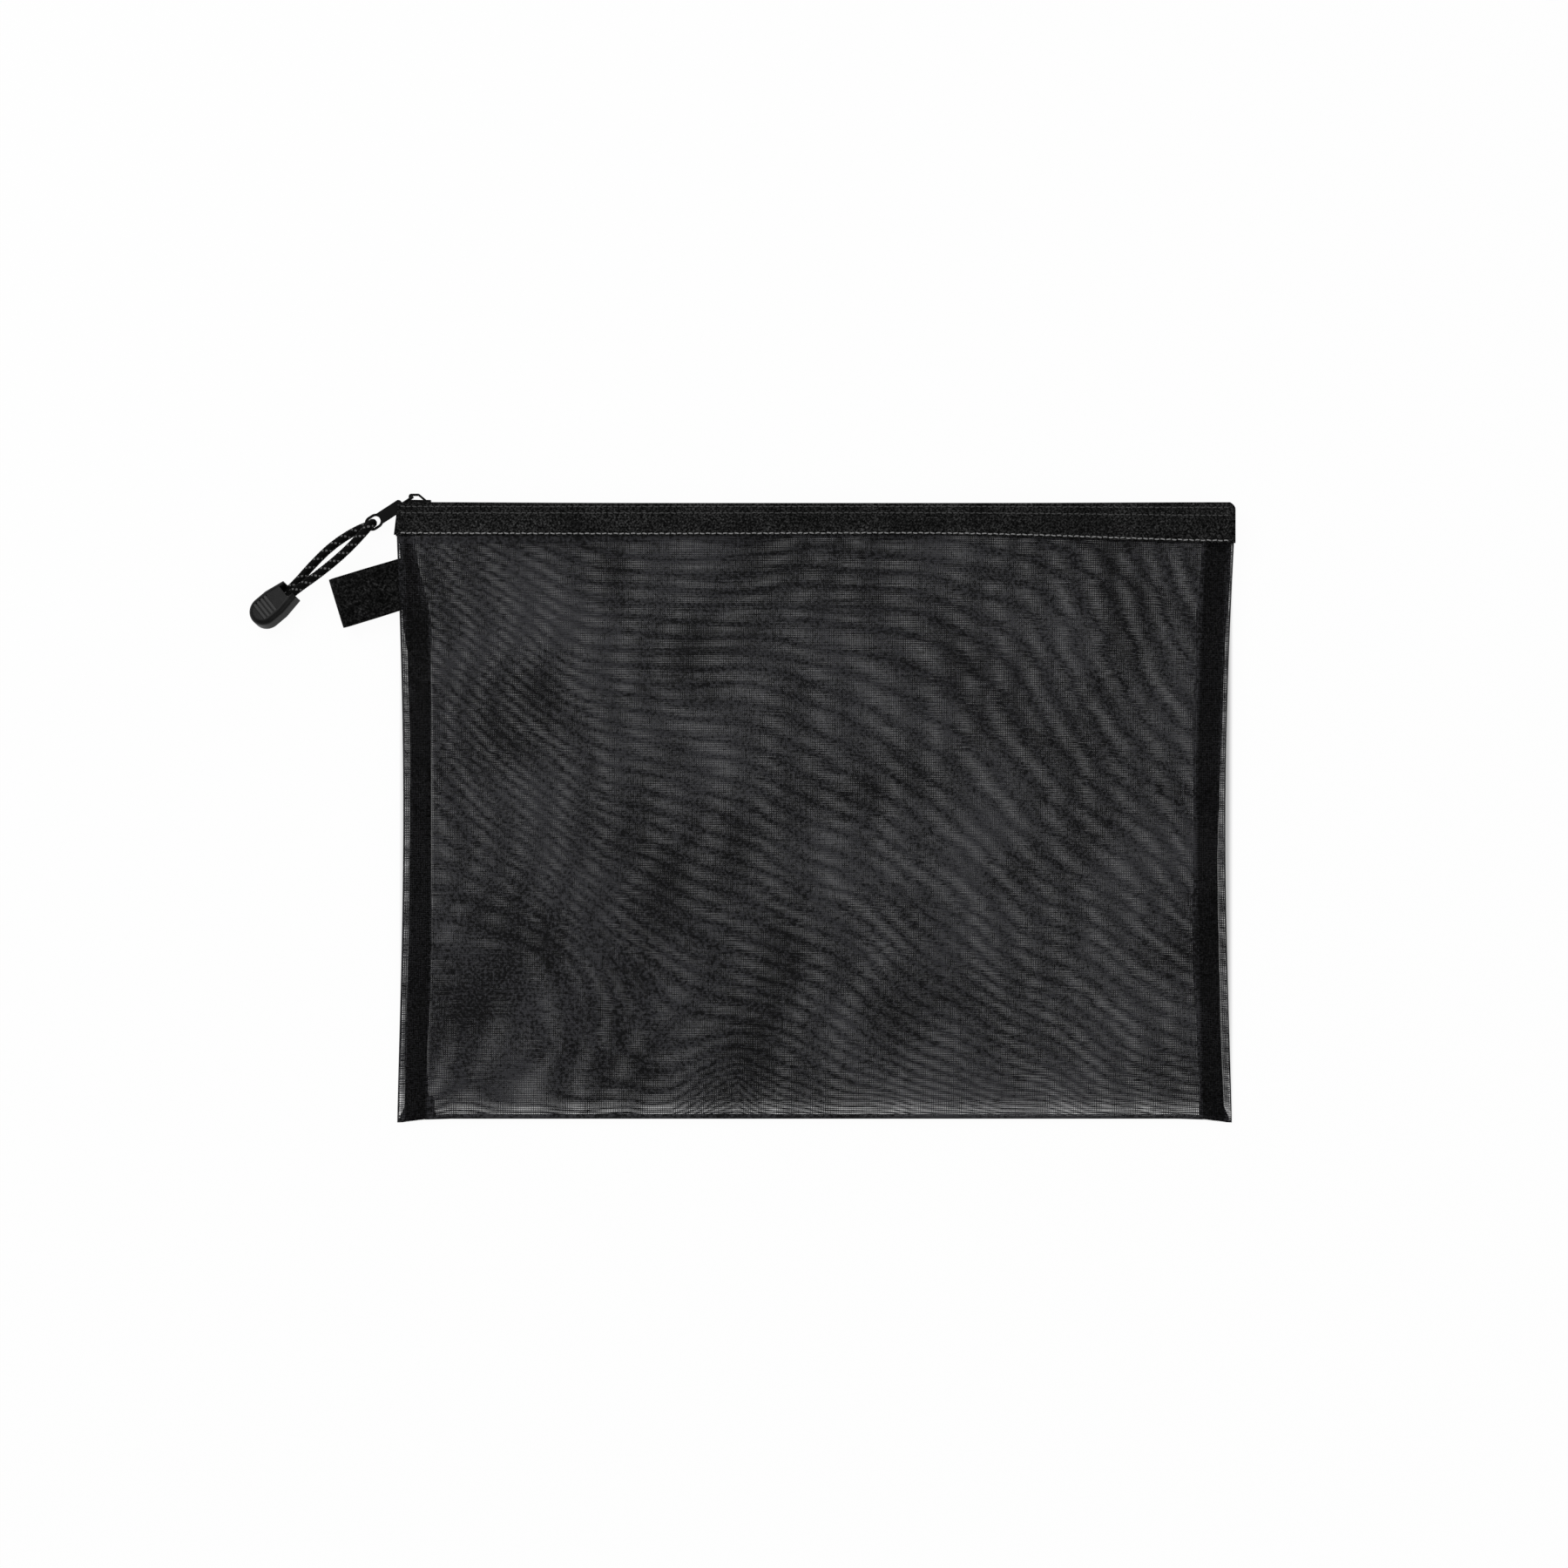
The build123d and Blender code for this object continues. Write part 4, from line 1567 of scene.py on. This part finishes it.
@dataclass
class CordPull:
    """The braided cord of the puller and its moulded end. Lengths are millimetres."""

    diameter: float = 3.5
    angle: float = math.radians(220)
    end_start: float = 42.3
    end_lift: float = 0.3
    end_roll: float = math.radians(22)
    strands: int = 8
    strand_sides: int = 6
    # Strands painted pale, as painted glints of light on the braid.
    glint_strands: tuple[int, ...] = (0, 4)
    lead: float = 9.5
    strand_width: float = 1.15
    strand_height: float = 0.62
    strand_sink: float = 0.1
    strand_swing: float = 0.16
    core: float = 2.5
    core_sides: int = 8
    steps: int = 300
    curve_steps: int = 24
    curve_order: int = 3
    route: tuple[tuple[float, float, float], ...] = (
        (52.1, -0.8, 1.9),
        (41.0, -0.9, 2.0),
        (29.5, -2.0, 2.6),
        (17.5, -2.2, 3.2),
        (7.5, -1.3, 3.5),
        (0.0, 0.0, 3.5),
        (0.0, 0.0, -3.5),
        (7.5, 2.6, -3.5),
        (18.5, 3.9, -3.2),
        (30.0, 2.9, -2.6),
        (41.0, 1.0, -1.6),
        (52.1, 0.8, -1.5),
    )

    def __post_init__(self) -> None:
        """Reads the place of the puller's eye, and works out the loop's own axes."""
        self.eye = joint_place("cord_swing")
        self.along = np.array((math.cos(self.angle), math.sin(self.angle), 0))
        self.across = np.array((math.sin(self.angle), -math.cos(self.angle), 0))
        self.up = np.array((0, 0, 1))

    def control_points(self) -> Array:
        """The route's points in the part's frame: along the loop, across it and above its plane."""
        route = np.array(self.route)
        return self.eye + route[:, :1] * self.along + route[:, 1:2] * self.across + route[:, 2:] * self.up

    def centre_line(self) -> Array:
        """The cord's middle: a smooth curve along the route.

        Returns:
            Points of the curve, evenly spaced.
        """
        points = MM * self.control_points()
        curve = bpy.data.curves.new("cord_route", "CURVE")
        curve.dimensions = "3D"
        curve.resolution_u = self.curve_steps
        spline = curve.splines.new("NURBS")
        spline.points.add(len(points) - 1)
        weighted = np.concatenate((points, np.ones((len(points), 1))), axis=1)
        spline.points.foreach_set("co", weighted.ravel())
        spline.order_u = self.curve_order
        spline.use_endpoint_u = True
        carrier = bpy.data.objects.new("cord_route", curve)
        bpy.context.scene.collection.objects.link(carrier)
        bpy.context.view_layer.update()
        line = bpy.data.meshes.new_from_object(carrier)
        found = np.empty(len(line.vertices) * 3)
        line.vertices.foreach_get("co", found)
        bpy.data.objects.remove(carrier)
        bpy.data.curves.remove(curve)
        bpy.data.meshes.remove(line)
        found = found.reshape(-1, 3) / MM
        run = np.concatenate(((0,), np.cumsum(np.linalg.norm(np.diff(found, axis=0), axis=1))))
        even = np.linspace(0, run[-1], self.steps)
        return np.stack([np.interp(even, run, found[:, axis]) for axis in range(3)], axis=-1)

    def braid(self, material: bpy.types.Material) -> bpy.types.Object:
        """The cord: flat strands that wind both ways round a core and pass over and under each other.

        A strand's angle grows evenly along the cord, and its distance from the middle swings once for every
        two crossings, outwards for one way of winding where it is inwards for the other.

        Args:
            material: The cord's finish.

        Returns:
            The object.
        """
        line = self.centre_line()
        length = np.linalg.norm(np.diff(line, axis=0), axis=1).sum()
        side, up = tube_frames(line, self.across)
        travel = np.linspace(0, length, self.steps) / self.lead * TURN
        swing = self.strand_swing * np.cos(self.strands * travel)
        radius = self.diameter / 2 - self.strand_height / 2 - self.strand_sink
        profile = ellipse(self.strand_width, self.strand_height, self.strand_sides)
        starts = np.arange(self.strands)[:, None] * TURN / self.strands
        # The listed strands of one winding way are painted pale, as painted highlights for the glints on the
        # braid.
        pale = np.isin(np.arange(self.strands), self.glint_strands)
        points, quads, glints, count = [], [], [], 0
        for way in (1, -1):
            angle = starts + way * travel
            outward = np.cos(angle)[..., None] * side + np.sin(angle)[..., None] * up
            path = line + outward * (radius + way * swing)[:, None]
            along = unit(np.gradient(path, axis=-2))
            flat = unit(np.cross(outward, along))
            points.append(tube_points(path, flat, np.cross(along, flat), profile).reshape(-1, 3))
            quads.append(rod_quads(self.strands, self.steps, self.strand_sides) + count)
            glints.append(np.repeat(pale * max(way, 0), self.steps * self.strand_sides))
            count += len(points[-1])
        core = tube_points(line, side, up, ellipse(self.core, self.core, self.core_sides))
        points.append(core.reshape(-1, 3))
        quads.append(rod_quads(1, self.steps, self.core_sides) + count)
        glints.append(np.zeros(len(points[-1])))
        mesh = make_mesh("braided_cord", np.concatenate(points), np.concatenate(quads))
        marks = mesh.attributes.new("glint", "FLOAT", "POINT")
        marks.data.foreach_set("value", np.concatenate(glints).astype(np.float32))
        piece = Piece("braided_cord", "cord_pull", "cord", ("pull_cord",)).add(mesh, material)
        return piece

    def build(self, finishes: Finishes) -> None:
        """Builds the cord and dresses its end.

        Args:
            finishes: The wallet's finishes.
        """
        self.braid(finishes.braid.build())
        mouth = self.eye + self.end_start * self.along + self.end_lift * self.up
        plastic = finishes.plastic.build_at(mouth, (self.end_roll, 0, self.angle))
        for node in ("cord_end_upper", "cord_end_lower"):
            dress(node, plastic)


@dataclass
class SideLoop:
    """The folded webbing in the left seam. Lengths are millimetres."""

    y: float = 90.7
    angle: float = math.radians(197)
    width: float = 20.0
    thickness: float = 1.3
    reach: float = 26.0
    gap: float = 4.6
    tuck: float = 6.5
    seam_gap: float = 0.06
    parting: float = 12.0
    leg_points: int = 15
    nose_points: int = 11
    width_points: int = 13
    edge_start: float = 0.8
    edge_thin: float = 0.375
    ripple: Wave = Wave(0.1, 4)

    def middle_line(self) -> Array:
        """The strip's middle line, drop-shaped: two legs that part, joined by half an ellipse.

        Returns:
            Points (outwards, z) of the line.
        """
        half_gap = (self.gap + self.thickness) / 2
        nose = self.reach - half_gap
        near = (self.thickness + self.seam_gap) / 2
        leg_x = -self.tuck + (nose + self.tuck) * np.linspace(0, 1, self.leg_points)
        leg_z = near + (half_gap - near) * smooth_step(leg_x, 0.0, self.parting)
        turn = np.linspace(math.pi / 2, -math.pi / 2, self.nose_points)[1:-1]
        nose_x = nose + (half_gap - self.thickness / 2) * np.cos(turn)
        x = np.concatenate((leg_x, nose_x, leg_x[::-1]))
        z = np.concatenate((leg_z, half_gap * np.sin(turn), -leg_z[::-1]))
        return np.stack((x, z), axis=-1)

    def build(self, finishes: Finishes) -> None:
        """Builds the strip: its middle line, carried across the width and thickened both ways.

        Args:
            finishes: The wallet's finishes.
        """
        low, high = node_box("side_loop")
        line = self.middle_line()
        along = unit(np.gradient(line, axis=0))
        normal = np.stack((-along[:, 1], along[:, 0]), axis=-1)
        across = np.linspace(-0.5, 0.5, self.width_points)[:, None] * self.width
        near_edge = np.clip(np.abs(across) / self.width * 2 - self.edge_start, 0, 1)
        squeeze = 1 - self.edge_thin * near_edge
        centre = np.concatenate((line, line[::-1]))
        offset = thickened(line, normal, self.thickness) - centre
        out = centre[:, 0] + offset[:, 0] * squeeze
        z = (low[2] + high[2]) / 2 + centre[:, 1] + offset[:, 1] * squeeze + self.ripple.at(across)
        heading = np.array((math.cos(self.angle), math.sin(self.angle)))
        x = node_box("mesh_body")[0][0] + out * heading[0] - across * heading[1]
        y = self.y + out * heading[1] + across * heading[0]
        points = np.stack((np.minimum(x, high[0]), y, z), axis=-1)
        mesh = make_mesh("side_loop_webbing", points, strip_quads(*x.shape, turned=False))
        Piece("side_loop_webbing", "pouch", "webbing", ("side_loop",)).add(mesh, finishes.webbing.build())


@dataclass(frozen=True)
class SoftBox:
    """A square lamp that points at the origin: its place and side in metres, and its power in watts."""

    name: str
    place: tuple[float, float, float]
    size: float
    power: float

    def build(self) -> None:
        """Puts the lamp into the scene."""
        light = bpy.data.lights.new(self.name, "AREA")
        light.size = self.size
        light.energy = self.power
        lamp = bpy.data.objects.new(self.name, light)
        lamp.location = self.place
        x, y, z = self.place
        lamp.rotation_euler = (math.atan2(math.hypot(x, y), z), 0, math.atan2(y, x) + math.pi / 2)
        bpy.context.scene.collection.objects.link(lamp)


@dataclass
class Studio:
    """Floor, light and camera, in metres. The camera looks straight down, as in the photograph."""

    view_x: float = -0.0129
    view_y: float = 0.0110
    view_width: float = 0.6297
    distance: float = 2.0
    far: float = 20.0
    sensor: float = 36.0
    floor_size: float = 4.0
    floor_drop: float = 0.0004
    floor_paint: float = 0.9
    floor_white: float = 0.96
    floor_under: float = 0.15
    floor_fade: float = 0.0025
    fold_fade: float = 0.009
    world_light: float = 0.45
    lamps: tuple[SoftBox, ...] = (
        SoftBox("key", place=(-0.9, 0.9, 1.6), size=1.2, power=20),
        SoftBox("fill", place=(1.2, -0.7, 1.5), size=1.4, power=8),
    )

    def floor(self) -> None:
        """A white floor that keeps a soft shadow.

        The camera sees most of it as plain white, but little under the pouch, where mainly the light that
        comes through the mesh falls on it. The white returns at the pouch's edges, more slowly at its fold.
        """
        graph = Graph(bpy.data.materials.new("floor_white"))
        paths = graph.node("ShaderNodeLightPath")
        seen = paths.value("Is Camera Ray") + paths.value("Is Glossy Ray")
        seen = seen + paths.value("Is Transmission Ray")
        low, high = node_box("mesh_body")
        high[1] = node_box("front_zip_tape")[1][1]
        centre, half = (low + high) / 2 * MM, (high - low) / 2 * MM
        x, y, _ = graph.parts(graph.place())
        past_x = abs(x - float(centre[0])) - float(half[0])
        past_y = abs(y - float(centre[1])) - float(half[1])
        past_fold = float(low[1]) * MM - y
        outside = 1 + (past_x.most(past_y) / self.floor_fade).most(past_fold / self.fold_fade)
        share = seen * self.floor_white * outside.least(1).most(self.floor_under)
        paint = graph.node("ShaderNodeBsdfDiffuse", None, {"Color": (*grey(self.floor_paint), 1)})
        white = graph.node("ShaderNodeEmission", None, {"Color": (*grey(1), 1), "Strength": 1.0})
        mixed = graph.two_shaders(share, paint, white)
        graph.node("ShaderNodeOutputMaterial", None, {"Surface": mixed})
        corners = np.array(((-1, -1, 0), (1, -1, 0), (1, 1, 0), (-1, 1, 0))) * self.floor_size / 2
        corners[:, 2] = -self.floor_drop
        mesh = make_mesh("floor", corners / MM, np.arange(4)[None])
        mesh.materials.append(graph.owner)
        floor = bpy.data.objects.new("floor", mesh)
        bpy.context.scene.collection.objects.link(floor)

    def world(self) -> None:
        """White to the camera, and a plain grey light to everything else."""
        world = bpy.data.worlds.new("studio")
        bpy.context.scene.world = world
        graph = Graph(world)
        seen = graph.node("ShaderNodeLightPath").socket("Is Camera Ray")
        light = graph.node("ShaderNodeBackground", None, {"Strength": self.world_light})
        white = graph.node("ShaderNodeBackground", None, {"Color": (*grey(1), 1)})
        mixed = graph.two_shaders(seen, light, white)
        graph.node("ShaderNodeOutputWorld", None, {"Surface": mixed})

    def camera(self) -> None:
        """A long lens, straight above the middle of the photograph's frame."""
        data = bpy.data.cameras.new("camera")
        data.sensor_width = self.sensor
        data.lens = self.sensor * self.distance / self.view_width
        data.clip_end = self.far
        camera = bpy.data.objects.new("camera", data)
        camera.location = (self.view_x, self.view_y, self.distance)
        bpy.context.scene.collection.objects.link(camera)
        bpy.context.scene.camera = camera

    def build(self) -> None:
        """Builds the stage."""
        self.floor()
        self.world()
        for lamp in self.lamps:
            lamp.build()
        self.camera()
        bpy.context.scene.view_settings.view_transform = "Standard"


def main() -> None:
    """Builds the wallet and its stage in order."""
    logging.basicConfig(level=logging.INFO, format="%(message)s")
    finishes = Finishes()
    Studio().build()
    CordPull().build(finishes)
    Pouch().build(finishes)
    Zip().build(finishes)
    SideLoop().build(finishes)
    paint = finishes.paint.build()
    for node in ("slider_body", "pull_tab"):
        dress(node, paint)


if __name__ == "__main__":
    main()
